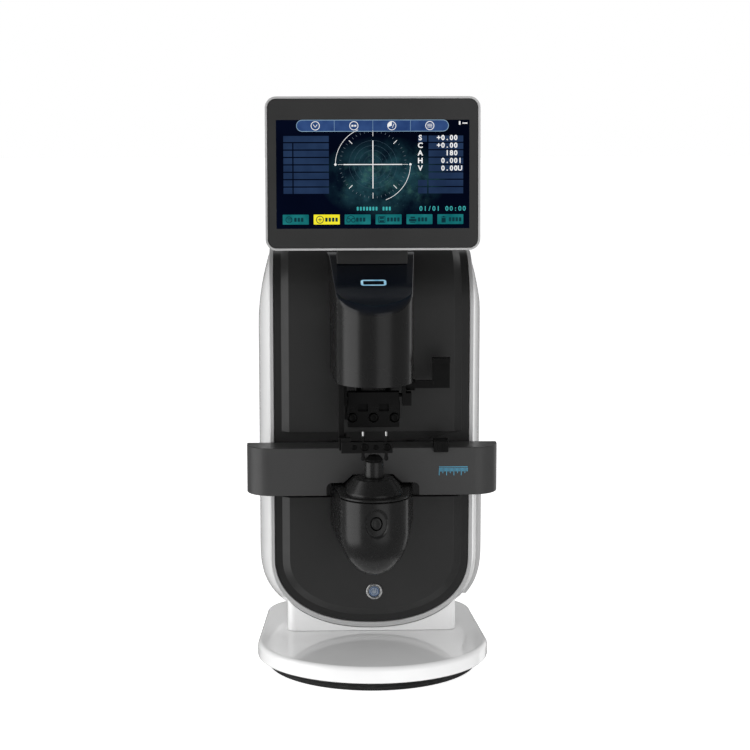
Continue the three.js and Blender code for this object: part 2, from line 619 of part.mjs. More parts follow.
function buildLowerHousing() {
  const outer = housingSolid(0, housing.bottom, housing.top);
  const inner = housingSolid(housing.wall, housing.bottom + 3, housing.top + 1);
  const front = AXIS_Y - housing.radius;
  const dish = prism('y', ellipse(read.x, read.z, read.dishHalfWidth, read.dishHalfHeight), front - 2, front + 1.2);
  const buttonHole = prism('y', ellipse(read.x, read.z, read.halfWidth + 0.3, read.halfHeight + 0.3), front - 3,
    front + 12);
  add('lower_housing', cut(outer, inner, dish, buttonHole), blackSatin);
  const key = prism('y', ellipse(read.x, read.z, read.halfWidth, read.halfHeight), front, front + 9);
  add('read_button', key, blackGloss);

  const rimLevels = [[cap.rimRadius, cap.bottom], [cap.rimRadius, cap.rim], [cap.rimRadius - 1, cap.ledge]];
  const neckProfile = [
    [0, cap.ledge - 1], [cap.neckRadius, cap.ledge - 1], [cap.neckRadius, cap.shoulder], [cap.topRadius, cap.top],
    [0, cap.top],
  ];
  const rim = skin(rimLevels.map(([radius, z]) => housingPlan(radius, z, channelFace())));
  const ridgeOutline = [
    [-cap.ridgeHalfWidth, cap.ledge - 1], [cap.ridgeHalfWidth, cap.ledge - 1], [cap.ridgeHalfWidth, cap.shoulder],
    [cap.ridgeTopHalfWidth, cap.ridgeTop], [-cap.ridgeTopHalfWidth, cap.ridgeTop], [-cap.ridgeHalfWidth, cap.shoulder],
  ];
  const lid = join(rim, turned(neckProfile, 0, AXIS_Y), prism('y', ridgeOutline, AXIS_Y, channelFace()));
  add('lower_cap', cut(lid, bar('z', 6.4, 140, 180, 0, AXIS_Y)), blackSatin);

  const noseProfile = [
    [nose.bore, 154], [6.1, 154], [6.1, nose.bottom], [nose.radius, nose.bottom], [nose.radius, nose.top - 0.8],
    [nose.radius - 0.8, nose.top], [nose.bore, nose.top], [nose.bore, 154],
  ];
  add('nose_tube', turned(noseProfile, 0, AXIS_Y), blackSatin);
  const tipProfile = [
    [3, nose.top + 0.1], [6.9, nose.top + 0.1], [7.2, nose.top + 0.7], [6.8, nose.top + 1.3],
    [nose.tipRadius + 0.4, nose.tipTop - 0.4], [nose.tipRadius, nose.tipTop], [3, nose.tipTop],
    [3, nose.top + 0.1],
  ];
  add('lens_rest_tip', turned(tipProfile, 0, AXIS_Y), blackMatte);
  const barrelProfile = [[0, 108], [9.5, 108], [9.5, 146], [6, 146], [6, 140], [0, 140]];
  add('sensor_barrel', turned(barrelProfile, 0, AXIS_Y), blackMatte);
}

function channelFace() {
  return body.front - GAP;
}

// ---------------------------------------------------------------- lens table

function tablePlan(inset, rear) {
  const [w, r] = [table.halfWidth - inset, table.corner - inset];
  const y = table.front + inset;
  const left = range(7).map((t) => {
    const angle = Math.PI + t * Math.PI / 2;
    return [-w + r + r * Math.cos(angle), y + r + r * Math.sin(angle)];
  });
  const right = [...left].reverse().map(([x, py]) => [-x, py]);
  return [[-w, rear], ...left, ...right, [w, rear]];
}

function buildTable() {
  const sliding = new THREE.Group();
  lensmeter.add(sliding);
  const band = cut(prism('z', tablePlan(0, table.rear), table.bottom, table.top),
    prism('z', tablePlan(table.wall, table.rear + 5), table.bottom - 1, table.top - table.wall));
  const opening = roundedRectangle(-table.cutHalfWidth, table.cutHalfWidth, 100, table.cutTop, 4);
  const notch = [
    [-table.notchHalfWidth, 150], [table.notchHalfWidth, 150], [table.notchHalfWidth, table.cutTop],
    [table.notchTopHalfWidth, table.notchTop], [-table.notchTopHalfWidth, table.notchTop],
    [-table.notchHalfWidth, table.cutTop],
  ];
  add('lens_table', cut(band, prism('y', opening, -60, 0), prism('y', notch, -60, 0)), blackSatin, sliding);

  const bandRear = table.front + table.wall;
  for (const [side, x] of [['left', -rod.x], ['right', rod.x]]) {
    add(`table_rod_${side}`, bar('y', rod.radius, bandRear, rod.rear, x, rod.z), steel, sliding);
    const bush = join(bar('y', rod.flange, body.front - 3, body.front - 0.1, x, rod.z, ROUND),
      bar('y', 6, body.front - 1, 24, x, rod.z, ROUND));
    add(`table_bush_${side}`, cut(bush, bar('y', rod.radius + GAP, -10, 40, x, rod.z, ROUND)), blackMatte);
  }
  add('table_yoke', box(-38, 38, rod.rear, rod.rear + 6, rod.z - 6, rod.z + 6), aluminium, sliding);

  const profile = [
    [-23.5, 181.2], [table.front - GAP, 181.2], [table.front - GAP, table.top + GAP],
    [-13.4, table.top + GAP], [-13.4, 189.6], [-15, 191.6], [-22, 191.6], [-23.5, 190],
  ];
  add('nose_pad_slider', prism('x', profile, 49.4, 61.3), blackMatte, sliding);
}

// ---------------------------------------------------------------- lens clamp

function buildClamp() {
  const sliding = new THREE.Group();
  lensmeter.add(sliding);
  const middle = (clamp.barFront + clamp.barRear) / 2;
  const arm = join(
    box(-28.2, -24, -46, -36, 189.6, 280),
    box(-28.2, -22.3, clamp.barRear + 0.1, -36, 189.6, 200),
  );
  add('clamp_arm', arm, blackMatte, sliding);
  const face = prism('z', roundedRectangle(clamp.left, clamp.right, clamp.barFront, clamp.barRear, 0.8),
    clamp.bottom, clamp.top);
  const block = box(clamp.left, -19.2, clamp.barFront + 0.8, clamp.barRear, clamp.bottom + 1, 200.6);
  const holes = [-clamp.pinX, clamp.pinX].map((x) => bar('z', 1.6, 170, 220, x, middle));
  add('clamp_bar', cut(join(face, block), ...holes), blackMatte, sliding);
  for (const [side, x] of [['left', -clamp.pinX], ['right', clamp.pinX]]) {
    const profile = [
      [0, 182], [1.1, 182.2], [1.7, 183.2], [1.7, 185.2], [1.3, 185.6], [1.3, 199.6], [1.7, 199.7],
      [1.7, 205.2], [1.2, 205.9], [0, 206],
    ];
    add(`clamp_pin_${side}`, turned(profile, x, middle, SMALL_ROUND), chrome, sliding);
  }
}

// ---------------------------------------------------------------- ink marker

function buildMarker() {
  const carriageGroup = new THREE.Group();
  lensmeter.add(carriageGroup);
  const [y, z] = [marker.shaftY, marker.shaftZ];
  const ears = [
    box(-26, -21.4, y - 5.5, y + 6, z - 8, 249), box(23.3, 26, y - 5.5, y + 6, z - 8, 249),
    box(25.9, 30.6, y - 5.5, y + 6, z - 8, z + 2),
  ];
  const roof = box(-26, 26, y - 5.5, -8, 246, 249);
  const slideBlock = box(-17, 17, -19.5, -8.5, 246, 262);
  const rodHoles = [-rodGuide.x, rodGuide.x].map((x) => bar('z', rodGuide.radius + GAP, 200, 300, x, rodGuide.y));
  const shaftHole = bar('x', 1.9, -40, 40, y, z);
  add('marker_carriage', cut(join(roof, slideBlock, ...ears), ...rodHoles, shaftHole), blackMatte, carriageGroup);
  add('marker_shaft', bar('x', 1.6, -27.5, 27.5, y, z), steel, carriageGroup);

  const arm = box(26.1, lever.armEnd + 1, lever.y - 2, lever.y + 2, lever.z - 3, lever.z + 3);
  const hub = bar('x', 4.6, 26.1, 34, lever.y - 2, lever.z);
  const paddle = box(lever.armEnd, lever.paddleEnd, lever.y - 1.6, lever.y + 1.6, lever.z - 3, lever.paddleTop);
  const lip = box(lever.armEnd, lever.paddleEnd, lever.y - 6, lever.y + 1.6, lever.paddleTop - 4, lever.paddleTop);
  add('marker_lever', join(arm, hub, paddle, lip), blackMatte, carriageGroup);

  const pivot = new THREE.Group();
  carriageGroup.add(pivot);
  const shell = box(-marker.halfWidth, marker.halfWidth, y - 3.5, y + 4.5, z - 26, z + 3);
  const recesses = [-8.5, 8.5].map((x) => box(x - 4.2, x + 4.2, y - 5, y - 1.5, z - 13, z - 6.5));
  const penHoles = marker.pens.map((x) => bar('y', 3.8, y - 10, y + 10, x, z - marker.drop));
  const bore = bar('x', 1.8, -40, 40, y, z);
  add('pen_carrier', cut(shell, bore, ...recesses, ...penHoles), blackMatte, pivot);
  marker.pens.forEach((x, i) => {
    const name = ['pen_left', 'pen_centre', 'pen_right'][i];
    const profile = [
      [0, y - 4.6], [2.8, y - 4.6], [3.5, y - 3.8], [3.5, y + 20], [2.2, y + 24.5], [1, y + 25], [0.8, y + 28.6],
      [0, y + marker.reach],
    ];
    const points = profile.map(([radius, height]) => new THREE.Vector2(radius, height));
    const geometry = new THREE.LatheGeometry(points, SMALL_ROUND);
    geometry.translate(x, 0, z - marker.drop);
    add(name, solid(geometry), blackMatte, pivot);
  });
  const pad = box(-23, 23, 0.8, body.front - panel.raise - GAP, z - 26, z - 10);
  add('ink_cartridge', pad, blackMatte);
}

// ---------------------------------------------------------------- buttons

function buildPowerButton() {
  const front = body.front - panel.raise;
  const ring = cut(
    join(bar('y', power.ring, front - 1.3, front - 0.05, power.x, power.z, ROUND),
      bar('y', power.barrel, front - 0.2, 24, power.x, power.z, ROUND)),
    bar('y', 4.9, front - 3, 30, power.x, power.z, ROUND),
  );
  add('power_button_ring', ring, steel);
  const key = join(bar('y', 4.6, front - 1.1, front + 8, power.x, power.z, ROUND),
    bar('y', 3, front + 7, front + 15, power.x, power.z));
  add('power_button_cap', key, lightBlue);
}

// ---------------------------------------------------------------- printer

function buildPrinter() {
  const half = paper.length / 2;
  const roll = cut(bar('y', paper.radius, paper.y - half, paper.y + half, paper.x, paper.z, ROUND),
    bar('y', 6, 0, 120, paper.x, paper.z));
  add('paper_roll', roll, paperWhite);
  const trayOuter = box(paper.x - 25, paper.x + 24, paper.y - half - 5, paper.y + half + 5, paper.z - 25, paper.z);
  const trayInner = bar('y', paper.radius + 1.5, paper.y - half - 2.6, paper.y + half + 2.6, paper.x, paper.z, ROUND);
  add('paper_tray', cut(trayOuter, trayInner), blackMatte);
  const roller = join(
    bar('y', platen.radius, paper.y - platen.length / 2, paper.y + platen.length / 2, platen.x, platen.z),
    bar('y', 2, paper.y - platen.length / 2 - 3, paper.y + platen.length / 2 + 3, platen.x, platen.z),
  );
  add('platen_roller', roller, rubber);
  add('print_head', box(60, platen.x - platen.radius - 1, paper.y - 29, paper.y + 29, 121, 133), aluminium);
}

buildBase();
buildBody();
buildFront();
buildHead();
buildScreen();
buildLowerHousing();
buildTable();
buildClamp();
buildMarker();
buildPowerButton();
buildPrinter();

export default lensmeter;
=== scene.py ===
"""Looks of the automatic lensmeter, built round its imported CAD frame.

Shapes are worked out in millimetres and turned into metres by piece().  +Z is up and -Y faces the user.
"""

import json
import math

import bmesh
import bpy
from mathutils import Matrix, Vector


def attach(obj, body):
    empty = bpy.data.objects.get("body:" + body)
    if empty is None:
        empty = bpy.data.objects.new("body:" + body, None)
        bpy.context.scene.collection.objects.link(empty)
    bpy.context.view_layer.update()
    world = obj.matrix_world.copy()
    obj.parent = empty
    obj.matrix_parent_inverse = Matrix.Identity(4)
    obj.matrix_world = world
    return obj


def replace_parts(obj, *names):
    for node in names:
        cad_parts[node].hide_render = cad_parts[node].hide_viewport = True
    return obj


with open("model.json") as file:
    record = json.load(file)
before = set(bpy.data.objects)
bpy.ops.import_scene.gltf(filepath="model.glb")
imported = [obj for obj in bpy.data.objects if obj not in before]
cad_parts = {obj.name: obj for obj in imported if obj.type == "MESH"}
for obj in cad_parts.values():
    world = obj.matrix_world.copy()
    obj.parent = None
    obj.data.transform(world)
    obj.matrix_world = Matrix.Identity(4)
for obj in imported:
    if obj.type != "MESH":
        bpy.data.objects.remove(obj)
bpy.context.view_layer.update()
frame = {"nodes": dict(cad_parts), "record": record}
NODES = frame["nodes"]
BODY_OF = {node: body for body, nodes in frame["record"]["behaviour"]["bodies"].items() for node in nodes}
MM = 0.001

# ---------------------------------------------------------------- sizes, in millimetres

# The clearance between pieces, and the optical axis.
GAP = 0.3
AXIS_Y = -47.0

# Body: a flat front that rolls over the top, sides that swell behind the mouth, a superelliptic bottom.
FRONT_Y = 10.0
ROLL_RADIUS = 45.0
ROLL_Y = 55.0
ROLL_Z = 292.0
REAR_Y = 108.0
REAR_ROUND = 14.0
TOP_REAR_Y = 80.0
WALL = 3.0
MOUTH = 84.0
BULGE = 9.5
BULGE_DEPTH = 56.0
BOTTOM_Z = 86.0
BOTTOM_DROP = 61.0
FRONT_POWER = 2.2
DEEP_POWER = 2.9
TRIM_DEPTH = 4.0

# Front panel: two raised fields with sloped edges, and the level channel between them.
PANEL_HALF = 80.3
PANEL_DROP = 55.7
RAISE = 4.0
FIELD_Y = FRONT_Y - RAISE
BEVEL_OUTER = 74.3
BEVEL_INNER = 68.0
CHANNEL_BOTTOM = 138.0
CHANNEL_TOP = 193.0

# Head: a half cylinder in front, cut off by the sloping facet that carries the light.
HEAD_RADIUS = 31.0
HEAD_REAR_HALF = 36.5
HEAD_REAR = 40.0
HEAD_BOTTOM = 244.0
FACET_FRONT_Z = 306.3
FACET_SLOPE = math.radians(20)
HEAD_TOP = 338.5
HEAD_WALL = 2.5
LIGHT_Y = -35.0
LIGHT_HALF_WIDTH = 10.2
LIGHT_HALF_LENGTH = 4.6

# Screen, the axis it tilts on, and the picture it shows.
SCREEN_HALF_WIDTH = 85.9
SCREEN_HALF_HEIGHT = 61.15
SCREEN_CORNER = 9.0
SCREEN_BORDER = 1.7
SCREEN_LEAN = math.radians(4.4)
SCREEN_Y = -22.0
SCREEN_Z = 407.9
TILT_Y = 7.0
TILT_Z = 378.0
PICTURE_WIDTH = 154.1
PICTURE_HEIGHT = 86.3
PICTURE_RISE = -0.6
LAYER = 0.04

# Lower housing, and the read button in its dish.
HOUSING_RADIUS = 28.4
HOUSING_BOTTOM = 86.0
HOUSING_STRAIGHT = 122.0
HOUSING_TOP = 150.4
HOUSING_POWER = 1.9
HOUSING_RIM = 0.7
FLARE = 1.2
DISH_DEPTH = 1.6
READ_X = 1.0
READ_Z = 133.6

# Lens table and its two rods.
TABLE_HALF = 102.8
TABLE_FRONT = -20.0
TABLE_REAR = 6.5
TABLE_BOTTOM = 145.0
TABLE_TOP = 184.5
TABLE_CORNER = 20.0
TABLE_WALL = 3.0
ROD_X = 31.0
ROD_Z = 176.0

# Lens clamp and ink marker.
BAR_FRONT = -61.5
BAR_REAR = -55.5
PIN_X = 9.2
SHAFT_Y = -29.0
SHAFT_Z = 230.0
GUIDE_X = 12.0
GUIDE_Y = -14.0
PEN_PLACES = (-17.0, 0.0, 17.0)
PEN_Z = SHAFT_Z - 18.0

# Power button and printer door.
BUTTON_X = 2.0
BUTTON_Z = 57.4
DOOR_FRONT = 34.0
DOOR_REAR = 90.0
DOOR_BOTTOM = 46.0
DOOR_TOP = 138.0
DOOR_CORNER = 7.0
DOOR_PROUD = 2.2

# ---------------------------------------------------------------- outlines and solids


def arc(x, y, radius, start, end, steps):
    """Points along an arc between two angles in degrees, with both ends."""
    angles = [math.radians(start + (end - start) * i / steps) for i in range(steps + 1)]
    return [(x + radius * math.cos(angle), y + radius * math.sin(angle)) for angle in angles]


def ellipse(x, y, half_width, half_height, segments=72):
    return [(x + half_width * a, y + half_height * b) for a, b in arc(0, 0, 1, 0, 360, segments)[:-1]]


def mirrored(points):
    return [(-x, y) for x, y in reversed(points)]


def rounded_rectangle(x0, x1, y0, y1, radius, steps=8):
    right, left, low, high = x1 - radius, x0 + radius, y0 + radius, y1 - radius
    corners = ((right, low, -90), (right, high, 0), (left, high, 90), (left, low, 180))
    return [point for x, y, turn in corners for point in arc(x, y, radius, turn, turn + 90, steps)]


def place(axis, along, a, b):
    """A point at a distance along one axis and at a, b on the two others."""
    return {"x": (along, a, b), "y": (a, along, b), "z": (a, b, along)}[axis]


def skin(rings, closed=False):
    """Skins a row of rings.  Both ends are capped, or the last ring meets the first when closed."""
    count = len(rings[0])
    points = [tuple(point) for ring in rings for point in ring]
    rows = len(rings)
    faces = []
    for row in range(rows if closed else rows - 1):
        here, there = row * count, (row + 1) % rows * count
        for i in range(count):
            j = (i + 1) % count
            faces.append((here + i, here + j, there + j, there + i))
    if not closed:
        faces.append(tuple(range(count)))
        faces.append(tuple(range((rows - 1) * count, rows * count)))
    mesh = bpy.data.meshes.new("solid")
    mesh.from_pydata(points, [], faces)
    work = bmesh.new()
    work.from_mesh(mesh)
    bmesh.ops.remove_doubles(work, verts=work.verts, dist=1e-4)
    bmesh.ops.recalc_face_normals(work, faces=work.faces)
    work.to_mesh(mesh)
    work.free()
    return mesh


def prism(axis, outline, start, end):
    return skin([[place(axis, along, p, q) for p, q in outline] for along in (start, end)])


def block(x0, x1, y0, y1, z0, z1):
    return prism("z", [(x0, y0), (x1, y0), (x1, y1), (x0, y1)], z0, z1)


def slot_through(x0, x1, z0, z1, radius, start, end, steps=8):
    """A rounded rectangle that runs along y."""
    return prism("y", rounded_rectangle(x0, x1, z0, z1, radius, steps), start, end)


def round_bar(axis, profile, a, b, segments=64, closed=False):
    """A solid of revolution from (radius, distance along the axis) points, with flat ends."""
    rings = []
    for radius, along in profile:
        rings.append([place(axis, along, p, q) for p, q in ellipse(a, b, radius, radius, segments)])
    return skin(rings, closed)


def tube(axis, profile, a, b, segments=64):
    """A hollow solid of revolution: the profile is a closed loop of (radius, distance) points."""
    return round_bar(axis, profile, a, b, segments, closed=True)


def bar(axis, radius, start, end, a, b, segments=64, edge=0.0):
    """A round bar along an axis, with its two rims rounded by the edge radius."""
    if not edge:
        return round_bar(axis, [(radius, start), (radius, end)], a, b, segments)
    near = arc(radius - edge, start + edge, edge, 270, 360, 4)
    far = [(r, start + end - along) for r, along in reversed(near)]
    return round_bar(axis, near + far, a, b, segments)


def linked(name, data):
    """A new object in the scene."""
    made = bpy.data.objects.new(name, data)
    bpy.context.scene.collection.objects.link(made)
    return made


def evaluated(work):
    """The mesh of an object after its modifiers.  The object itself is removed."""
    graph = bpy.context.evaluated_depsgraph_get()
    made = bpy.data.meshes.new_from_object(work.evaluated_get(graph))
    bpy.data.objects.remove(work)
    return made


def combine(operation, shape, tools):
    work = linked("work", shape)
    helpers = [linked("tool", tool) for tool in tools]
    for helper in helpers:
        step = work.modifiers.new("step", "BOOLEAN")
        step.operation = operation
        step.solver = "MANIFOLD"
        step.object = helper
    made = evaluated(work)
    for helper in helpers:
        bpy.data.objects.remove(helper)
    return made


def cut(shape, *tools):
    return combine("DIFFERENCE", shape, tools)


def join(shape, *others):
    return combine("UNION", shape, others)


def meet(shape, *others):
    return combine("INTERSECT", shape, others)


def add_bevel(work, width, segments, angle, limit="ANGLE"):
    step = work.modifiers.new("edges", "BEVEL")
    step.width = width
    step.segments = segments
    step.limit_method = limit
    step.angle_limit = math.radians(angle)
    step.miter_outer = "MITER_ARC"
    step.harden_normals = False


def rounded(mesh, width, segments=4, angle=30, limit="ANGLE"):
    work = linked("work", mesh)
    add_bevel(work, width, segments, angle, limit)
    return evaluated(work)


def gather(meshes):
    """Several separate solids as one mesh."""
    work = bmesh.new()
    for mesh in meshes:
        work.from_mesh(mesh)
    made = bpy.data.meshes.new("solid")
    work.to_mesh(made)
    work.free()
    return made


def moved(mesh, matrix):
    mesh.transform(matrix)
    return mesh


def paint(mesh, index, test=lambda centre: True):
    """Gives the faces whose centres pass the test another of the piece's materials."""
    for polygon in mesh.polygons:
        if test(polygon.center):
            polygon.material_index = index
    return mesh


# ---------------------------------------------------------------- pieces


def add_shading(work):
    even = work.modifiers.new("shading", "WEIGHTED_NORMAL")
    even.weight = 60
    return even


def piece(name, mesh, materials, like, bevel=0.0, segments=3, angle=32):
    """Turns a mesh in millimetres into a finished piece, on the body of a CAD node."""
    mesh.transform(Matrix.Scale(MM, 4))
    painted = [polygon.material_index for polygon in mesh.polygons]
    mesh.materials.clear()
    for each in materials:
        mesh.materials.append(each)
    mesh.polygons.foreach_set("material_index", painted)
    mesh.polygons.foreach_set("use_smooth", [True] * len(mesh.polygons))
    made = linked(name, mesh)
    if bevel:
        add_bevel(made, bevel * MM, segments, angle)
    else:
        mesh.set_sharp_from_angle(angle=math.radians(angle))
    add_shading(made).keep_sharp = True
    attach(made, BODY_OF[like])
    return made


def stand_in(node, mesh, *materials, **edges):
    """The fine piece that stands for one CAD node."""
    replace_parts(piece("fine_" + node, mesh, materials, node, **edges), node)


def finish_node(name, material, bevel=0.25):
    """A CAD node that stays: its material, and its edges softened by modifiers only."""
    node = NODES[name]
    node.data.materials.clear()
    node.data.materials.append(material)
    node.data.polygons.foreach_set("use_smooth", [True] * len(node.data.polygons))
    weld = node.modifiers.new("weld", "WELD")
    weld.merge_threshold = 1e-5
    add_bevel(node, bevel * MM, 2, 40)
    add_shading(node)


# ---------------------------------------------------------------- shader nodes


def new_material(name):
    made = bpy.data.materials.new(name)
    made.use_nodes = True
    return made, made.node_tree


def feed(tree, socket, value):
    """Sets an input to a value, or links another node's output to it."""
    if isinstance(value, bpy.types.NodeSocket):
        tree.links.new(value, socket)
    else:
        socket.default_value = value


def add(tree, kind, inputs=None, **settings):
    """Adds a shader node.  Its inputs are given by name or number."""
    made = tree.nodes.new(kind)
    for key, value in settings.items():
        setattr(made, key, value)
    for key, value in (inputs or {}).items():
        feed(tree, made.inputs[key], value)
    return made


def surfaced(made, **values):
    """Feeds the material's surface shader and returns the material."""
    surface = made.node_tree.nodes["Principled BSDF"]
    for key, value in values.items():
        feed(made.node_tree, surface.inputs[key.replace("_", " ")], value)
    return made


def grey(level):
    return (level, level, level, 1.0)


def coordinates(tree, stretch=(1.0, 1.0, 1.0)):
    """Object coordinates in millimetres."""
    source = add(tree, "ShaderNodeTexCoord").outputs["Object"]
    scale = tuple(1000 * s for s in stretch)
    return add(tree, "ShaderNodeMapping", {"Vector": source, "Scale": scale}).outputs[0]


def noise(tree, size, detail=3.0, stretch=(1.0, 1.0, 1.0), roughness=0.5):
    """Noise whose features are about as many millimetres across as size says."""
    values = {"Vector": coordinates(tree, stretch), "Scale": 1 / size, "Detail": detail,
              "Roughness": roughness}
    return add(tree, "ShaderNodeTexNoise", values).outputs["Fac"]


def spread(tree, value, low, high, start=0.3, end=0.7):
    values = {"Value": value, "From Min": start, "From Max": end, "To Min": low, "To Max": high}
    return add(tree, "ShaderNodeMapRange", values).outputs["Result"]


def blend(tree, factor, first, second):
    made = tree.nodes.new("ShaderNodeMix")
    made.data_type = "RGBA"
    for index, value in ((0, factor), (6, first), (7, second)):
        feed(tree, made.inputs[index], value)
    return made.outputs[2]


def maths(tree, operation, first, second):
    return add(tree, "ShaderNodeMath", {0: first, 1: second}, operation=operation).outputs[0]


def relief(tree, height, depth, under=None):
    """Bump from a height between 0 and 1 that stands for a depth in millimetres."""
    values = {"Height": height, "Distance": depth * MM}
    if under is not None:
        values["Normal"] = under
    return add(tree, "ShaderNodeBump", values).outputs["Normal"]


def facing(tree, normal, direction):
    values = {0: normal, 1: direction}
    return add(tree, "ShaderNodeVectorMath", values, operation="DOT_PRODUCT").outputs["Value"]


def edge_mask(tree, radius):
    """1 near outer edges and 0 on open faces, from how far a rounded normal leans from the real one."""
    soft = add(tree, "ShaderNodeBevel", {"Radius": radius * MM}, samples=3).outputs["Normal"]
    plain = add(tree, "ShaderNodeNewGeometry").outputs["Normal"]
    return spread(tree, facing(tree, soft, plain), 1.0, 0.0, 0.80, 0.99)


# ---------------------------------------------------------------- materials


def plastic(name, dark, light, rough, grain=0.35, grain_depth=0.02, cloud=40.0, coat=0.0, wear=None,
            sheen=0.5):
    """Moulded plastic: slow colour drift, uneven gloss, fine grain, and worn edges where asked."""
    made, tree = new_material(name)
    colour = blend(tree, noise(tree, cloud, 4.0), dark, light)
    if wear is not None:
        rubbing = spread(tree, noise(tree, 6.0, 5.0), 0.15, 1.0)
        colour = blend(tree, maths(tree, "MULTIPLY", edge_mask(tree, 0.5), rubbing), colour, wear)
    waves = relief(tree, noise(tree, 14.0, 1.0), grain_depth * 2)
    return surfaced(made, Base_Color=colour, Roughness=spread(tree, noise(tree, 9.0, 5.0), *rough),
                    Normal=relief(tree, noise(tree, grain, 3.0, roughness=0.6), grain_depth, under=waves),
                    Coat_Weight=coat, Coat_Roughness=0.06, Specular_IOR_Level=sheen)


def metal(name, dark, light, rough, brush=(1.0, 1.0, 1.0), size=0.4, depth=0.01, metallic=1.0):
    """Metal with a brushed or blasted surface and faint smudges."""
    made, tree = new_material(name)
    lines = noise(tree, size, 4.0, stretch=brush)
    smudge = noise(tree, 12.0, 3.0)
    gloss = maths(tree, "ADD", spread(tree, lines, *rough), spread(tree, smudge, 0.0, 0.08))
    colour = blend(tree, spread(tree, lines, 0.0, 1.0), dark, light)
    return surfaced(made, Base_Color=colour, Roughness=gloss, Metallic=metallic,
                    Normal=relief(tree, lines, depth))


def head_black():
    """Semi-gloss black that turns bluish and glossier towards the sloping facet; faces tilted up like the
    facet also get a darker colour, which is painted shade.
    """
    made, tree = new_material("head_black")
    up_slope = (0.0, -math.sin(FACET_SLOPE), math.cos(FACET_SLOPE))
    plain = add(tree, "ShaderNodeNewGeometry").outputs["Normal"]
    share = spread(tree, facing(tree, plain, up_slope), 0.0, 1.0, 0.35, 0.92)
    cloud = noise(tree, 40.0, 4.0)
    matt = blend(tree, cloud, grey(0.006), grey(0.009))
    # The colour for faces tilted up like the facet. The bluish tint is the facet's own; its darkness is
    # painted shade.
    glossy = blend(tree, cloud, (0.004, 0.0052, 0.0085, 1), (0.0055, 0.008, 0.013, 1))
    rough = spread(tree, noise(tree, 40.0, 2.0), 0.25, 0.29)
    return surfaced(made, Base_Color=blend(tree, share, matt, glossy),
                    Roughness=maths(tree, "SUBTRACT", rough, maths(tree, "MULTIPLY", share, 0.1)),
                    Normal=relief(tree, noise(tree, 14.0, 2.0), 0.002), Specular_IOR_Level=0.5)


def rubber():
    made, tree = new_material("rubber")
    grain = noise(tree, 0.5, 5.0, roughness=0.7)
    dust = maths(tree, "MULTIPLY", noise(tree, 25.0, 6.0), noise(tree, 1.2, 3.0))
    colour = blend(tree, spread(tree, dust, 0.0, 0.35, 0.2, 0.5), grey(0.008), grey(0.045))
    return surfaced(made, Base_Color=colour, Roughness=spread(tree, grain, 0.62, 0.85),
                    Normal=relief(tree, grain, 0.06))


def cast_iron():
    made, tree = new_material("cast_iron")
    cells = add(tree, "ShaderNodeTexVoronoi", {"Vector": coordinates(tree), "Scale": 0.8})
    pits = cells.outputs["Distance"]
    rust = spread(tree, noise(tree, 18.0, 6.0), 0.0, 0.4, 0.45, 0.75)
    return surfaced(made, Base_Color=blend(tree, rust, (0.05, 0.052, 0.055, 1), (0.12, 0.07, 0.05, 1)),
                    Roughness=spread(tree, pits, 0.5, 0.75), Metallic=0.7, Normal=relief(tree, pits, 0.12))


def circuit_board():
    """Green lacquer over copper tracks that run square to each other."""
    made, tree = new_material("circuit_board")
    turned = add(tree, "ShaderNodeMapping", {"Vector": coordinates(tree), "Rotation": (math.pi / 2, 0, 0)})
    values = {"Vector": turned.outputs[0], "Scale": 0.25, "Mortar Size": 0.06, "Color1": grey(0.0),
              "Color2": grey(0.15), "Mortar": grey(1.0)}
    tracks = add(tree, "ShaderNodeTexBrick", values).outputs["Fac"]
    blotch = noise(tree, 8.0, 3.0)
    lacquer = blend(tree, blotch, (0.006, 0.05, 0.022, 1), (0.012, 0.09, 0.04, 1))
    return surfaced(made, Base_Color=blend(tree, tracks, lacquer, (0.05, 0.2, 0.07, 1)),
                    Roughness=spread(tree, blotch, 0.25, 0.45), Normal=relief(tree, tracks, 0.04))


def paper():
    """Wound paper: fine rings on the ends and fibres on the outside."""
    made, tree = new_material("paper")
    centred = add(tree, "ShaderNodeMapping", {"Vector": coordinates(tree), "Location": (-57.0, 0.0, -98.0)})
    rings = add(tree, "ShaderNodeTexWave", {"Vector": centred.outputs[0], "Scale": 1.6, "Distortion": 0.4},
                wave_type="RINGS", rings_direction="Y").outputs["Fac"]
    fibre = noise(tree, 0.6, 5.0)
    colour = blend(tree, maths(tree, "MULTIPLY", rings, 0.35), (0.86, 0.84, 0.78, 1), (0.6, 0.58, 0.53, 1))
    return surfaced(made, Base_Color=colour, Roughness=spread(tree, fibre, 0.8, 0.95),
                    Normal=relief(tree, fibre, 0.03))


def black_glass():
    """Cover glass printed black behind, with the faintest haze and smears."""
    made, tree = new_material("black_glass")
    smear = noise(tree, 22.0, 5.0, stretch=(0.5, 1.0, 1.0))
    waves = relief(tree, noise(tree, 60.0, 1.0), 0.02)
    return surfaced(made, Base_Color=blend(tree, smear, grey(0.026), grey(0.031)),
                    Roughness=spread(tree, smear, 0.16, 0.24), Normal=waves, Specular_IOR_Level=0.25)


def glowing(name, low, high, size=6.0, strength=1.0, base=0.0, sheen=0.0):
    """A lit surface whose colour drifts a little, as a backlight does."""
    made, tree = new_material(name)
    drift = noise(tree, size, 2.0)
    return surfaced(made, Base_Color=grey(base), Roughness=spread(tree, drift, 0.3, 0.4),
                    Emission_Color=blend(tree, spread(tree, drift, 0.0, 1.0), low, high),
                    Emission_Strength=strength, Specular_IOR_Level=sheen)


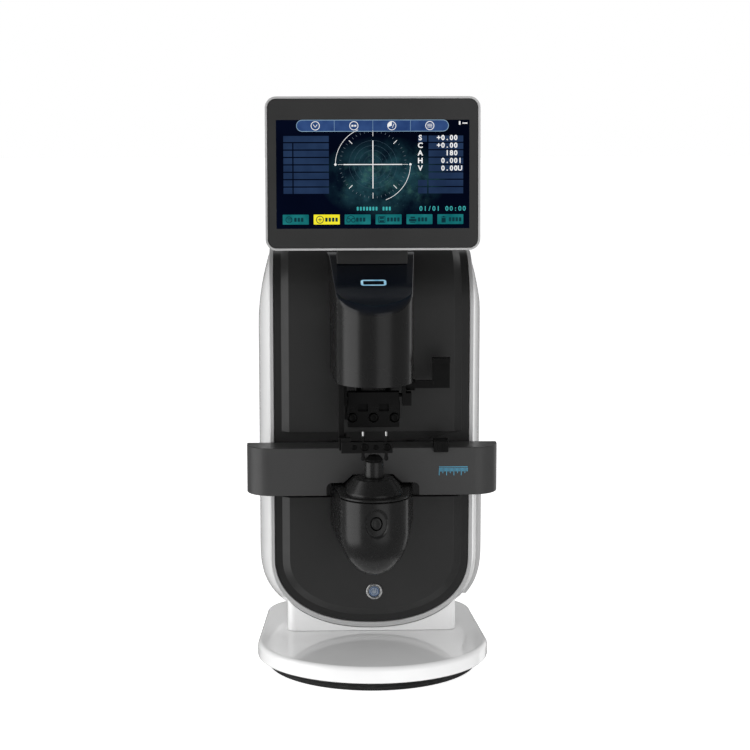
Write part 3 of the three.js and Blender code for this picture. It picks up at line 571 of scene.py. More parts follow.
def night_sky():
    """The display's backdrop: dark blue with teal clouds towards the middle and small specks."""
    made, tree = new_material("display_backdrop")
    base = blend(tree, spread(tree, noise(tree, 60.0, 3.0), 0.0, 1.0), (0.0006, 0.0016, 0.006, 1),
                 (0.0014, 0.003, 0.012, 1))
    flat = add(tree, "ShaderNodeMapping", {"Vector": coordinates(tree, (1 / 52.0, 0.0, 1 / 34.0)),
                                           "Location": (-0.16, 0.0, -404.0 / 34.0)})
    fade = add(tree, "ShaderNodeTexGradient", {"Vector": flat.outputs[0]}, gradient_type="SPHERICAL")
    middle = spread(tree, fade.outputs["Fac"], 0.0, 1.0, 0.0, 0.6)
    cloud = spread(tree, noise(tree, 22.0, 7.0, roughness=0.62), 0.1, 1.0, 0.38, 0.62)
    haze = maths(tree, "MULTIPLY", cloud, middle)
    lit = blend(tree, haze, base, (0.016, 0.06, 0.078, 1))
    glow = spread(tree, noise(tree, 9.0, 8.0, roughness=0.7), 0.0, 1.0, 0.55, 0.8)
    lit = blend(tree, maths(tree, "MULTIPLY", glow, haze), lit, (0.06, 0.17, 0.13, 1))
    cells = add(tree, "ShaderNodeTexVoronoi", {"Vector": coordinates(tree), "Scale": 0.32})
    specks = maths(tree, "MULTIPLY", spread(tree, cells.outputs["Distance"], 1.0, 0.0, 0.03, 0.11), middle)
    lit = blend(tree, maths(tree, "MULTIPLY", specks, 0.25), lit, (0.25, 0.4, 0.55, 1))
    return surfaced(made, Base_Color=grey(0.0), Roughness=spread(tree, cloud, 0.3, 0.4), Emission_Color=lit,
                    Emission_Strength=1.0, Specular_IOR_Level=0.0)


ALONG_Y = (1.0, 0.06, 1.0)
WHITE = plastic("white_gloss", grey(0.80), grey(0.86), (0.10, 0.18), grain=1.4, grain_depth=0.006, coat=0.6)
BLACK = plastic("black_satin", grey(0.019), grey(0.024), (0.30, 0.40), grain=0.3, grain_depth=0.014,
                wear=grey(0.06), sheen=0.45)
TABLE_BLACK = plastic("black_table", grey(0.038), grey(0.044), (0.32, 0.42), grain=0.3, grain_depth=0.014,
                      wear=grey(0.08), sheen=0.45)
HOUSING_BLACK = plastic("black_semi_gloss", grey(0.007), grey(0.011), (0.25, 0.29), grain=12.0,
                        grain_depth=0.002, sheen=0.5)
MARGIN_BLACK = plastic("black_margin", grey(0.014), grey(0.018), (0.28, 0.36), grain=0.3, grain_depth=0.01,
                       sheen=0.4)
HEAD_BLACK = head_black()
MECHANISM = plastic("black_matt", grey(0.004), grey(0.007), (0.42, 0.55), grain=0.25, grain_depth=0.02,
                    cloud=15.0, wear=grey(0.02), sheen=0.15)
# Mid grey for the printer door, much darker than the white shell round it.
DOOR_GREY = plastic("grey_plastic", grey(0.42), grey(0.47), (0.3, 0.4), grain=0.4, grain_depth=0.02)
SILVER = metal("silver_paint", grey(0.62), grey(0.74), (0.30, 0.38), size=0.25, depth=0.006, metallic=0.6)
STEEL = metal("brushed_steel", grey(0.42), grey(0.60), (0.20, 0.32), ALONG_Y)
BLACKENED = metal("blackened_steel", grey(0.012), grey(0.03), (0.3, 0.42), ALONG_Y)
CHROME = metal("chrome", grey(0.78), grey(0.86), (0.05, 0.10), size=3.0, depth=0.002)
ALUMINIUM = metal("aluminium", grey(0.40), grey(0.52), (0.34, 0.48), (0.08, 1.0, 1.0))
RUBBER = rubber()
IRON = cast_iron()
BOARD = circuit_board()
PAPER = paper()
GLASS = black_glass()
SKY = night_sky()
PALE_BLUE = glowing("pale_blue_light", (0.16, 0.42, 0.62, 1), (0.42, 0.70, 0.86, 1), strength=0.9,
                    base=0.02, sheen=0.3)
BUTTON_METAL = metal("button_metal", (0.22, 0.26, 0.31, 1), (0.38, 0.43, 0.48, 1), (0.3, 0.42), size=0.3,
                     depth=0.01, metallic=0.5)
BRIGHT_RING = metal("bright_ring", grey(0.30), grey(0.85), (0.16, 0.30), size=2.2, depth=0.05, metallic=0.9)
SIGN_BLUE = glowing("button_sign", (0.02, 0.05, 0.13, 1), (0.04, 0.09, 0.20, 1), strength=0.8, base=0.02,
                    sheen=0.4)
UI_WHITE = glowing("display_white", grey(0.80), grey(0.95))
UI_FAINT = glowing("display_faint", (0.04, 0.07, 0.10, 1), (0.06, 0.11, 0.15, 1))
UI_SOFT = glowing("display_soft", (0.10, 0.13, 0.16, 1), (0.16, 0.20, 0.24, 1))
UI_SLATE = glowing("display_slate", (0.012, 0.026, 0.066, 1), (0.018, 0.038, 0.092, 1), 14.0)
UI_BAR = glowing("display_bar", (0.018, 0.045, 0.15, 1), (0.035, 0.08, 0.22, 1), 10.0)
UI_EDGE = glowing("display_edge", (0.22, 0.36, 0.5, 1), (0.3, 0.46, 0.6, 1))
UI_TEAL = glowing("display_teal", (0.005, 0.12, 0.13, 1), (0.014, 0.19, 0.20, 1), 10.0)
UI_TEXT = glowing("display_teal_text", (0.04, 0.34, 0.34, 1), (0.06, 0.45, 0.45, 1))
UI_YELLOW = glowing("display_yellow", (0.85, 0.74, 0.02, 1), (0.95, 0.86, 0.04, 1), 8.0)
UI_DARK = glowing("display_dark", (0.004, 0.03, 0.04, 1), (0.006, 0.045, 0.06, 1))
PRINT_BLUE = plastic("print_blue", (0.05, 0.33, 0.52, 1), (0.08, 0.42, 0.62, 1), (0.4, 0.5), grain=0.3)

# ---------------------------------------------------------------- foot, base and pedestal


def base_plan(grow):
    """Plan of the base plate: half an ellipse in front, two round corners at the back."""
    centre_y, half_width, reach = -10.0, 95.0, 86.0
    front = [((half_width + grow) * x, centre_y + (reach + grow) * y)
             for x, y in arc(0, 0, 1, 180, 360, 96)]
    right = arc(52.0, 82.0, 36.0 + grow, 0, 90, 24)
    return front + right + mirrored(right)


def build_base():
    foot = [(70.0, 0.0), (72.0, 0.0), (72.6, 1.0), (75.4, 1.0), (76.0, 0.0), (85.4, 0.0), (86.3, 0.3),
            (86.85, 0.9), (87.0, 1.7), (87.0, 3.4), (86.4, 3.9), (86.4, 4.5), (87.0, 5.0), (87.0, 6.5),
            (86.7, 7.3), (86.0, 7.8), (85.0, 8.0)]
    stand_in("foot_disc", round_bar("z", foot, 0, 0, 160), RUBBER)

    bottom, top, rim = 8.3, 22.0, 4.0
    levels = [(-2.2, bottom), (-1.2, bottom + 0.4), (-0.3, bottom + 1.2), (0.0, bottom + 2.4),
              (0.0, top - rim)]
    levels += arc(-rim, top - rim, rim, 0, 90, 8)[1:]
    plate = skin([[(x, y, z) for x, y in base_plan(grow)] for grow, z in levels])
    pocket = bar("z", 76, bottom - 1, top - 4, 0, 8, 128)
    stand_in("base_plate", cut(plate, pocket), WHITE, angle=25)
    finish_node("ballast_disc", IRON, 0.6)

    column = prism("z", rounded_rectangle(-70.5, 70.5, 11, 98, 7, 12), top + GAP, 66)
    stand_in("pedestal", rounded(cut(column, body_solid(-GAP)), 0.7, 3, 50), WHITE, angle=25)


# ---------------------------------------------------------------- body


def lower_curve(half_width, drop, exponent, steps):
    """The lower half of the body's outline, a superellipse, from right to left."""
    points = []
    for c, s in arc(0, 0, 1, 0, 180, steps):
        x = 0.0 if abs(c) < 1e-9 else half_width * math.copysign(abs(c) ** (2 / exponent), c)
        points.append((x, BOTTOM_Z - drop * max(s, 0.0) ** (2 / exponent)))
    return points


def front_outline(half_width, drop, top):
    return [(half_width, top)] + lower_curve(half_width, drop, FRONT_POWER, 112) + [(-half_width, top)]


def profile_behind(depth, rear):
    """Side profile of everything deeper than a depth behind the front surface."""
    radius = ROLL_RADIUS - depth
    roll = arc(ROLL_Y, ROLL_Z, radius, 180, 90, 32)
    return [(rear, 0.0), (FRONT_Y + depth, 0.0)] + roll + [(rear, ROLL_Z + radius)]


def front_sheet(outer, inner, rear):
    return cut(prism("x", profile_behind(outer, rear), -120, 120),
               prism("x", profile_behind(inner, rear + 1), -121, 121))


def depth_behind_front(y, z):
    dy, dz = ROLL_Y - y, z - ROLL_Z
    if dz > 0 and dy > 0:
        return ROLL_RADIUS - math.hypot(dy, dz)
    return min(y - FRONT_Y, ROLL_RADIUS - dz)


def bulge_share(depth):
    share = min(max((depth - TRIM_DEPTH) / BULGE_DEPTH, 0.0), 1.0)
    return 1 - (1 - share) ** 1.8


def rear_rounding(y):
    past = y - (REAR_Y - REAR_ROUND)
    return REAR_ROUND - math.sqrt(max(REAR_ROUND ** 2 - past ** 2, 0.0)) if past > 0 else 0.0


def body_top(y):
    dy = ROLL_Y - y
    return ROLL_Z + (math.sqrt(max(ROLL_RADIUS ** 2 - dy ** 2, 0.0)) if dy > 0 else ROLL_RADIUS)


def body_slice(y, inset):
    """The body's outline at one depth, smaller all round by the inset."""
    side_steps = 20
    shrink = inset + rear_rounding(y)
    share = bulge_share(depth_behind_front(y, BOTTOM_Z))
    exponent = FRONT_POWER + (DEEP_POWER - FRONT_POWER) * share
    lower = lower_curve(MOUTH + BULGE * share - shrink, BOTTOM_DROP - shrink, exponent, 56)
    top = body_top(y) - shrink
    side = []
    for i in range(side_steps, 0, -1):
        z = BOTTOM_Z + (top - BOTTOM_Z) * (1 - (1 - i / side_steps) ** 1.7)
        side.append((MOUTH + BULGE * bulge_share(depth_behind_front(y, z + shrink)) - shrink, z))
    return [(x, y, z) for x, z in side + lower + mirrored(side)]


def body_solid(inset, rear=REAR_Y):
    stations = [FRONT_Y + 0.01, 10.6, 11.5, 12.8, 14.3, 16, 18, 20.5, 23.5, 27, 31, 36, 42, 48, 54, 60,
                67, 75, 84]
    stations += [REAR_Y - REAR_ROUND * (1 - math.sin(math.pi / 2 * i / 8)) for i in range(8)]
    rings = [body_slice(y, inset) for y in stations + [REAR_Y - 0.01]]
    if rear > REAR_Y:
        rings.append([(x, rear, z) for x, _, z in rings[-1]])
    return skin(rings)


def door_block(grow, start):
    outline = rounded_rectangle(DOOR_FRONT - grow, DOOR_REAR + grow, DOOR_BOTTOM - grow, DOOR_TOP + grow,
                                DOOR_CORNER + grow, 12)
    return prism("x", outline, start, 110)


def build_body():
    behind = join(prism("x", profile_behind(TRIM_DEPTH + GAP, REAR_Y + 20), -130, 130),
                  block(-130, 130, TOP_REAR_Y + TRIM_DEPTH + GAP, REAR_Y + 20, 200, 400))
    shell = cut(meet(body_solid(0), behind), body_solid(WALL, REAR_Y + 4), door_block(0.5, 70))
    stand_in("body_shell", shell, WHITE, bevel=0.8, angle=48)
    door = meet(cut(body_solid(-DOOR_PROUD), body_solid(2.2)), door_block(0, 60))
    grip = rounded(block(80, 110, 52, 72, 131.5, 134.5), 1.2, 4)
    stand_in("printer_door", cut(door, grip), DOOR_GREY, bevel=0.6, angle=45)
    build_rear_cover()
    build_sockets()


def build_rear_cover():
    """The cover with its air slots, openings and four cross-head screws."""
    outline = [(x, z) for x, _, z in body_slice(REAR_Y - 0.01, WALL + 0.4)]
    screws = [(-64, 300), (64, 300), (-64, 78), (64, 78)]
    holes = [slot_through(-52, -22, 56, 78, 3, 90, 120), slot_through(8, 28, 60, 74, 2, 90, 120)]
    holes += [slot_through(-40, 40, low, low + 3, 1.45, 90, 120, 6) for low in range(240, 303, 9)]
    holes += [bar("y", 2.3, 90, 120, x, z, 32) for x, z in screws]
    cover = cut(prism("y", outline, REAR_Y - 4, REAR_Y - 0.2), *holes)
    stand_in("rear_cover", cover, WHITE, bevel=0.35, angle=45)

    profile = [(2.0, REAR_Y - 10), (2.0, REAR_Y), (3.5, REAR_Y), (3.8, REAR_Y + 0.3), (3.6, REAR_Y + 0.9),
               (3.0, REAR_Y + 1.35), (2.0, REAR_Y + 1.6)]
    for index, (x, z) in enumerate(screws):
        head = cut(round_bar("y", profile, x, z, 40), *cross(x, z, 2.2, 0.45, REAR_Y + 0.7, REAR_Y + 3))
        stand_in(f"rear_screw_{index + 1}", head, STEEL, bevel=0.1, angle=50)


def cross(x, z, reach, half, start, end):
    """The two blocks that cut a cross into a screw's head."""
    return [block(x - reach, x + reach, start, end, z - half, z + half),
            block(x - half, x + half, start, end, z - reach, z + reach)]


def build_sockets():
    """The power inlet with its three blades, and the data port with its tongue."""
    inlet = cut(slot_through(-51.6, -22.4, 56.4, 77.6, 2.8, 92, REAR_Y + 0.6),
                slot_through(-47, -27, 60, 74, 2.5, REAR_Y - 8, REAR_Y + 2))
    blades = [block(x - 1, x + 1, REAR_Y - 9, REAR_Y - 2, low, high)
              for x, low, high in ((-42, 62.8, 67.2), (-32, 62.8, 67.2), (-37, 67.6, 72))]
    inlet = paint(join(inlet, *blades), 1, lambda centre: REAR_Y - 7.9 < centre.y < REAR_Y - 1.9
                  and -43.1 < centre.x < -30.9 and 62.7 < centre.z < 72.1)
    stand_in("power_socket", inlet, MECHANISM, STEEL, bevel=0.3)
    port = cut(slot_through(8.4, 27.6, 60.4, 73.6, 1.6, 94, REAR_Y + 0.4),
               slot_through(11, 25, 63, 71, 0.8, REAR_Y - 7, REAR_Y + 2))
    tongue = block(13, 23, REAR_Y - 8, REAR_Y - 1.5, 67.4, 69.6)
    port = paint(join(port, tongue), 1, lambda centre: REAR_Y - 7.1 < centre.y < REAR_Y - 1
                 and 12.9 < centre.x < 23.1 and 67.3 < centre.z < 69.7)
    stand_in("data_port", port, STEEL, MECHANISM, bevel=0.2)


# ---------------------------------------------------------------- front panel


def lower_field(proud):
    """The raised lower field of the front panel, with its sloped edge."""
    outer_drop = PANEL_DROP - (PANEL_HALF - BEVEL_OUTER)
    inner_drop = outer_drop - (BEVEL_OUTER - BEVEL_INNER)
    levels = [(FRONT_Y + 1, BEVEL_OUTER, outer_drop), (FRONT_Y, BEVEL_OUTER, outer_drop),
              (FRONT_Y - proud, BEVEL_INNER, inner_drop)]
    return skin([[(x, y, z) for x, z in front_outline(half, drop, CHANNEL_BOTTOM)]
                 for y, half, drop in levels])


def upper_field(proud):
    """The raised upper field, which follows the roll onto the top."""
    path = [(FRONT_Y, CHANNEL_TOP, 0.0), (FRONT_Y, ROLL_Z - 4, 0.0)]
    for i in range(33):
        angle = math.pi / 2 * i / 32
        path.append((ROLL_Y - ROLL_RADIUS * math.cos(angle), ROLL_Z + ROLL_RADIUS * math.sin(angle), angle))
    path.append((TOP_REAR_Y - 3, ROLL_Z + ROLL_RADIUS, math.pi / 2))
    section = [(-BEVEL_OUTER, -1), (-BEVEL_OUTER, 0), (-BEVEL_INNER, proud), (BEVEL_INNER, proud),
               (BEVEL_OUTER, 0), (BEVEL_OUTER, -1)]
    return skin([[(x, y - h * math.cos(angle), z + h * math.sin(angle)) for x, h in section]
                 for y, z, angle in path])


def build_front():
    outline = front_outline(PANEL_HALF, PANEL_DROP, 400)
    sheet = meet(front_sheet(0, 3, TOP_REAR_Y), prism("y", outline, 0, 200))
    holes = [bar("y", 6.3, 0, 20, x, z) for x, z in ((-ROD_X, ROD_Z), (ROD_X, ROD_Z), (BUTTON_X, BUTTON_Z))]
    panel = cut(join(sheet, lower_field(RAISE), upper_field(RAISE)), *holes)
    paint(panel, 1, lambda centre: depth_behind_front(centre.y, centre.z) > -0.3)
    stand_in("front_panel", panel, BLACK, MARGIN_BLACK, bevel=0.9, segments=4, angle=20)

    ring = cut(prism("y", front_outline(83.8, 60.2, 400), -5, 120),
               prism("y", front_outline(80.6, 56.0, 410), -6, TOP_REAR_Y + GAP))
    ring = meet(ring, front_sheet(-0.6, TRIM_DEPTH, TOP_REAR_Y + TRIM_DEPTH))
    stand_in("trim_ring", ring, SILVER, bevel=0.7, segments=4, angle=40)
    finish_node("chassis_plate", ALUMINIUM)


# ---------------------------------------------------------------- head, light and neck


def head_plan(inset):
    rear_half = HEAD_REAR_HALF - inset
    front = arc(0, AXIS_Y, HEAD_RADIUS - inset, 180, 360, 96)
    return front + [(rear_half, HEAD_REAR), (-rear_half, HEAD_REAR)]


def facet_height(y):
    return FACET_FRONT_Z + math.tan(FACET_SLOPE) * (y - AXIS_Y + HEAD_RADIUS)


def under_facet(drop):
    """Everything below the facet and the flat top behind it, lowered by the drop."""
    flat_start = AXIS_Y - HEAD_RADIUS + (HEAD_TOP - FACET_FRONT_Z) / math.tan(FACET_SLOPE)
    return prism("x", [(-100, 200), (80, 200), (80, HEAD_TOP - drop), (flat_start, HEAD_TOP - drop),
                       (-100, facet_height(-100) - drop)], -100, 100)


def head_outer(lift, edge=0.0):
    outer = meet(prism("z", head_plan(-lift), HEAD_BOTTOM - 20, 400), under_facet(-lift))
    if edge:
        outer = softened_rim(outer, edge)
    return meet(outer, block(-100, 100, -120, 100, HEAD_BOTTOM, 400))


def softened_rim(mesh, width):
    """Rounds the facet's rim: widely where it meets the round front, narrowly along the sides."""
    work = bmesh.new()
    work.from_mesh(mesh)
    weights = []
    for edge in work.edges:
        middle = (edge.verts[0].co + edge.verts[1].co) / 2
        sharp = len(edge.link_faces) == 2 and edge.calc_face_angle(0.0) > math.radians(40)
        front = min(max((AXIS_Y - middle.y) / HEAD_RADIUS + 0.25, 0.0), 1.0)
        weights.append(0.12 + 0.88 * front * front if sharp and middle.z > FACET_FRONT_Z - 5 else 0.0)
    work.free()
    mesh.attributes.new("bevel_weight_edge", "FLOAT", "EDGE").data.foreach_set("value", weights)
    return rounded(mesh, width, 8, 40, "WEIGHT")


def front_block(clearance):
    """Everything behind the surface of the front panel, with a small clearance."""
    return join(prism("x", profile_behind(-clearance, 200), -90, 90), lower_field(RAISE + clearance),
                upper_field(RAISE + clearance))


def light_outline(margin_x, margin_y, radius):
    """Plan of the indicator light, wider and longer by the margins."""
    across, along = LIGHT_HALF_WIDTH + margin_x, LIGHT_HALF_LENGTH + margin_y
    return rounded_rectangle(-across, across, LIGHT_Y - along, LIGHT_Y + along, radius)


def facet_patch(outline, lift, depth):
    """A flat plate that lies along the facet, between two heights above it."""
    return skin([[(x, y, facet_height(y) + height) for x, y in outline] for height in (lift - depth, lift)])


def build_head():
    cavity = meet(prism("z", head_plan(HEAD_WALL), HEAD_BOTTOM + 2, 400), under_facet(HEAD_WALL))
    level = facet_height(LIGHT_Y)
    low, high = HEAD_BOTTOM - 5, HEAD_BOTTOM + 5
    openings = [prism("z", light_outline(0.2, 0.2, 2.7), level - 20, level + 20),
                block(-27.5, 27.5, -37.5, -4, low, high), bar("z", 11.3, low, high, 0, AXIS_Y),
                block(-29, -23, -47.5, -34, low, high)]
    cover = cut(head_outer(0, 6.0), front_block(GAP), cavity, *openings)
    stand_in("head_cover", cover, HEAD_BLACK, bevel=0.35, angle=50)

    outer, inner = light_outline(0, 0, 2.5), light_outline(-1.9, -1.3, 1.0)
    ring = cut(facet_patch(outer, 0.1, 0.3), facet_patch(inner, 0.5, 2.0))
    light = gather([facet_patch(outer, -0.25, 6), ring])
    paint(light, 1, lambda centre: centre.z > facet_height(centre.y) - 0.22)
    stand_in("indicator_light", light, HEAD_BLACK, PALE_BLUE, bevel=0.06)

    finish_node("head_bracket", ALUMINIUM)
    lamp = [(7.0, 254.0), (7.0, 250.6), (7.6, 250.0), (10.0, 250.0), (10.5, 250.5), (10.5, 262),
            (10.1, 262.4), (10.1, 263.6), (10.5, 264), (10.5, 299.4), (9.9, 300.0), (3.0, 300.0),
            (3.0, 254.0)]
    stand_in("lamp_barrel", tube("z", lamp, 0, AXIS_Y, 80), MECHANISM)
    for side, x in (("left", -GUIDE_X), ("right", GUIDE_X)):
        stand_in("marker_rod_" + side, bar("z", 3, 227, 285.6, x, GUIDE_Y, 40, 0.6), BLACKENED)

    knuckle, radius = 18.4, 8
    neck = join(block(-28.7, 28.7, -5, 19, 320, 364),
                block(-knuckle, knuckle, TILT_Y - radius, TILT_Y + radius, 363, TILT_Z),
                bar("x", radius, -knuckle, knuckle, TILT_Y, TILT_Z))
    neck = cut(neck, bar("x", 3.2, -40, 40, TILT_Y, TILT_Z, 40), head_outer(GAP), front_block(GAP))
    stand_in("screen_neck", neck, BLACK, bevel=0.7)
    finish_node("tilt_pin", STEEL)


# ---------------------------------------------------------------- screen

FACE = Matrix.Translation((0, SCREEN_Y, SCREEN_Z)) @ Matrix.Rotation(math.pi / 2 - SCREEN_LEAN, 4, "X")


def screen_outline(inset, radius):
    half_width, half_height = SCREEN_HALF_WIDTH - inset, SCREEN_HALF_HEIGHT - inset
    return rounded_rectangle(-half_width, half_width, -half_height, half_height, radius, 14)


def screen_plate(inset, radius, back, front):
    return prism("z", screen_outline(inset, radius), back, front)


def screen_rings(levels, radius):
    return skin([[(x, y, z) for x, y in screen_outline(inset, radius)] for inset, z in levels])


def build_screen():
    ring = cut(screen_plate(0, SCREEN_CORNER, -9, 0),
               screen_plate(SCREEN_BORDER, SCREEN_CORNER - 1.7, -2.6, 1), screen_plate(7, 4, -10, 1))
    stand_in("screen_frame", moved(ring, FACE), SILVER, bevel=0.6, segments=4)
    glass = screen_plate(SCREEN_BORDER + 0.2, SCREEN_CORNER - 1.9, -2.3, -0.3)
    stand_in("screen_glass", moved(glass, FACE), GLASS, bevel=0.3)
    finish_node("display_panel", MECHANISM, 0.2)

    levels = [(0.3, -9.2), (0.3, -11.2), (0.8, -12.6), (2.2, -14.4), (4.2, -16.2), (6.2, -17.0)]
    hollow = cut(screen_rings(levels, SCREEN_CORNER),
                 screen_rings(((2.5, -8.2), (2.5, -11.2), (7, -14.8)), SCREEN_CORNER - 2))
    up = (TILT_Y - SCREEN_Y) * math.sin(SCREEN_LEAN) + (TILT_Z - SCREEN_Z) * math.cos(SCREEN_LEAN)
    back = (TILT_Y - SCREEN_Y) * math.cos(SCREEN_LEAN) - (TILT_Z - SCREEN_Z) * math.sin(SCREEN_LEAN)
    lugs = []
    for x0, x1 in ((-26.2, -19), (19, 26.2)):
        lugs += [block(x0, x1, up - 8, up + 8, -back, -16), bar("x", 8, x0, x1, up, -back)]
    grooves = [prism("z", rounded_rectangle(-30, 30, y, y + 2, 0.95, 6), -18, -16.1)
               for y in range(22, 38, 5)]
    shell = cut(join(hollow, *lugs), bar("x", 3.3, -40, 40, up, -back, 40), *grooves)
    stand_in("screen_back", moved(shell, FACE), BLACK, bevel=0.4, angle=45)


# ---------------------------------------------------------------- what the display shows
# Shapes lie in layers above the glass: 0 backdrop, 1 cells, 2 bar, keys and rings, 3 ticks,
# 4 signs and figures.


def on_display(name, shapes, material):
    piece("display_" + name, moved(gather(shapes), FACE), [material], "display_panel")


def slab(outline, layer):
    """A thin lit shape on the display, one layer above the glass for each step."""
    bottom = -0.3 + layer * LAYER
    return prism("z", [(x, y + PICTURE_RISE) for x, y in outline], bottom, bottom + LAYER)


def strip(x0, x1, y0, y1, layer=4, radius=0.0):
    if radius:
        return slab(rounded_rectangle(x0, x1, y0, y1, radius, 6), layer)
    return slab([(x0, y0), (x1, y0), (x1, y1), (x0, y1)], layer)


def line(x0, y0, x1, y1, width, layer=4):
    length = math.hypot(x1 - x0, y1 - y0)
    nx, ny = -(y1 - y0) / length * width / 2, (x1 - x0) / length * width / 2
    return slab([(x0 - nx, y0 - ny), (x1 - nx, y1 - ny), (x1 + nx, y1 + ny), (x0 + nx, y0 + ny)], layer)


def arc_band(x, y, radius, width, start, end, layer=4, steps=48):
    """A flat arc, from a start to an end angle in degrees."""
    outer = arc(x, y, radius + width / 2, start, end, steps)
    return slab(outer + arc(x, y, radius - width / 2, end, start, steps), layer)


def ring_bands(x, y, radius, width, layer=4):
    return [arc_band(x, y, radius, width, start, start + 180, layer) for start in (0, 180)]


def outline_band(x0, x1, y0, y1, radius, width):
    """A thin rounded frame, built as two halves."""
    outer = rounded_rectangle(x0, x1, y0, y1, radius, 8)
    inner = rounded_rectangle(x0 + width, x1 - width, y0 + width, y1 - width, radius - width, 8)
    count = len(outer)
    halves = []
    for start in (0, count // 2):
        steps = [(start + i) % count for i in range(count // 2 + 1)]
        halves.append(slab([outer[i] for i in steps] + [inner[i] for i in reversed(steps)], 4))
    return halves


def numerals(text, right, y, height, advance, weight):
    """Numbers set one by one on an even pitch and aligned to the right."""
    made = []
    for index, character in enumerate(reversed(text)):
        if character == " ":
            continue
        curve = bpy.data.curves.new("numeral", "FONT")
        curve.body = character
        curve.size = height * 1.4
        curve.align_x = "CENTER"
        curve.offset = weight * height
        curve.extrude = LAYER / 2
        curve.resolution_u = 3
        at = (right - advance * (index + 0.5), y - height / 2 + PICTURE_RISE, -0.3 + 4.5 * LAYER)
        made.append(moved(evaluated(linked("numeral", curve)), Matrix.Translation(at)))
    return made


def build_target():
    """The aiming cross with its rings, ticks and two long arcs."""
    y, reach = 7.8, 29.9
    bright = [line(-23.5, y, 23.5, y, 0.75), line(0, y - 19, 0, y + 19, 0.75)]
    for side in (-1, 1):
        bright += [line(side * 24, y, side * 28, y, 0.28),
                   slab(ellipse(side * reach, y, 0.95, 0.95, 24), 4),
                   line(0, y + side * 22.4, 0, y + side * 27, 0.4)]
    bright += [arc_band(0, y, reach, 0.4, 113, 179), arc_band(0, y, reach, 0.4, 290, 357)]
    ticks = []
    for step in range(48):
        c, s = math.cos(math.radians(step * 7.5)), math.sin(math.radians(step * 7.5))
        if step % 12 == 6:
            bright.append(line(c * 23.2, y + s * 23.2, c * 27, y + s * 27, 0.5, 3))
        elif step % 12:
            ticks.append(line(c * 25.4, y + s * 25.4, c * 27, y + s * 27, 0.26, 3))
    on_display("ticks", ticks, UI_SOFT)
    on_display("target", bright, UI_WHITE)
    faint = [band for radius in (7.2, 11.2, 15.1, 19.0) for band in ring_bands(0, y, radius, 0.16, 2)]
    on_display("rings", faint, UI_FAINT)


# Sphere, cylinder, axis and the two prism directions, in the short form every lensmeter shows.
READINGS = (("S", "+0.00"), ("C", "+0.00"), ("A", "180"), ("H", "0.00I"), ("V", "0.00U"))


def build_tables():
    """Two tables of rows: an empty one on the left, readings on the right."""
    top, pitch, height = 25.7, 5.86, 4.9
    cells = [strip(-71.3, -35.1, top, top + 4.8, 1)]
    for low in (top - pitch * row for row in range(1, 8)):
        cells += [strip(-71.3, -64.2, low, low + height, 1), strip(-63.2, -35.1, low, low + height, 1)]
    for row in range(8):
        low = top - pitch * row
        cells.append(strip(44.4, 72.1, low, low + height, 1))
        if row in (0, 6, 7):
            cells.append(strip(36.0, 43.2, low, low + height, 1))
    on_display("rows", cells, UI_SLATE)

    marks = []
    for row, (label, text) in enumerate(READINGS):
        middle = 29.1 - 6.05 * row
        marks += numerals(text, 67.8 if row < 3 else 71.2, middle, 3.9, 3.4, 0.045)
        marks += numerals(label, 39.6, middle, 4.1, 3.6, 0.045)
    on_display("readings", marks, UI_WHITE)


def build_top_bar():
    on_display("bar", [strip(-60.6, 60.2, 34.2, 42.9, 2, 4.3)], UI_BAR)
    edges = outline_band(-60.9, 60.5, 33.9, 43.2, 4.6, 0.42)
    edges += [strip(x - 0.12, x + 0.12, 34.4, 42.7) for x in (-30.7, 0, 30.0)]
    on_display("bar_edge", edges, UI_EDGE)

    y = 38.5
    first, second, third, fourth = -45.8, -15.1, 15.1, 45.4
    icons = []
    for x in (first, second, third, fourth):
        icons += ring_bands(x, y, 3.3, 0.55)
    icons += [line(first - 1.6, y + 1.0, first, y - 1.2, 0.4),
              line(first, y - 1.2, first + 1.6, y + 1.0, 0.4)]
    icons += [strip(second + x - 0.8, second + x + 0.8, y - 0.7, y + 0.7) for x in (-1.1, 1.1)]
    icons += [arc_band(third, y, 1.5, 3.0, 90, 200, 4, 24),
              line(third + 0.4, y - 1.8, third + 1.8, y + 1.6, 0.4)]
    icons += [strip(fourth - 2.0, fourth + 2.0, y + d - 0.2, y + d + 0.2) for d in (-1.1, 0.0, 1.1)]
    corner = [strip(68.6, 69.9, 39.2, 42.0, 4, 0.3), strip(71.4, 75.4, 40.0, 40.9)]
    on_display("icons", icons + corner, UI_WHITE)


def key_sign(kind, x, y):
    """A dark sign for one of the keys."""
    if kind == "list":
        rows = [strip(x - 1.2, x + 2.6, y + d - 0.25, y + d + 0.25) for d in (-1, 0, 1)]
        return ring_bands(x, y, 2.4, 0.6) + rows
    if kind == "aim":
        cross_hair = [line(x - 1.5, y, x + 1.5, y, 0.5), line(x, y - 1.5, x, y + 1.5, 0.5)]
        return ring_bands(x, y, 2.8, 0.6) + cross_hair
    if kind == "lenses":
        rims = [band for side in (-1.9, 1.9) for band in ring_bands(x + side, y - 0.5, 1.5, 0.6)]
        return rims + [arc_band(x, y, 3.2, 0.5, 20, 160)]
    if kind == "store":
        slots = [strip(x - 1.6, x + 1.6, y + 0.5, y + 2.0), strip(x - 1.8, x + 1.8, y - 2.0, y - 0.6)]
        return outline_band(x - 2.8, x + 2.8, y - 2.6, y + 2.6, 0.6, 0.55) + slots
    if kind == "print":
        return [strip(x - 3.0, x + 3.0, y - 1.6, y + 0.4, 4, 0.4),
                strip(x - 1.8, x + 1.8, y + 0.9, y + 2.2), strip(x - 2.0, x + 2.0, y - 2.6, y - 2.0)]
    return [strip(x - 1.7, x + 1.7, y - 2.6, y + 1.2, 4, 0.4), strip(x - 2.3, x + 2.3, y + 1.6, y + 2.1),
            strip(x - 0.8, x + 0.8, y + 2.1, y + 2.7)]


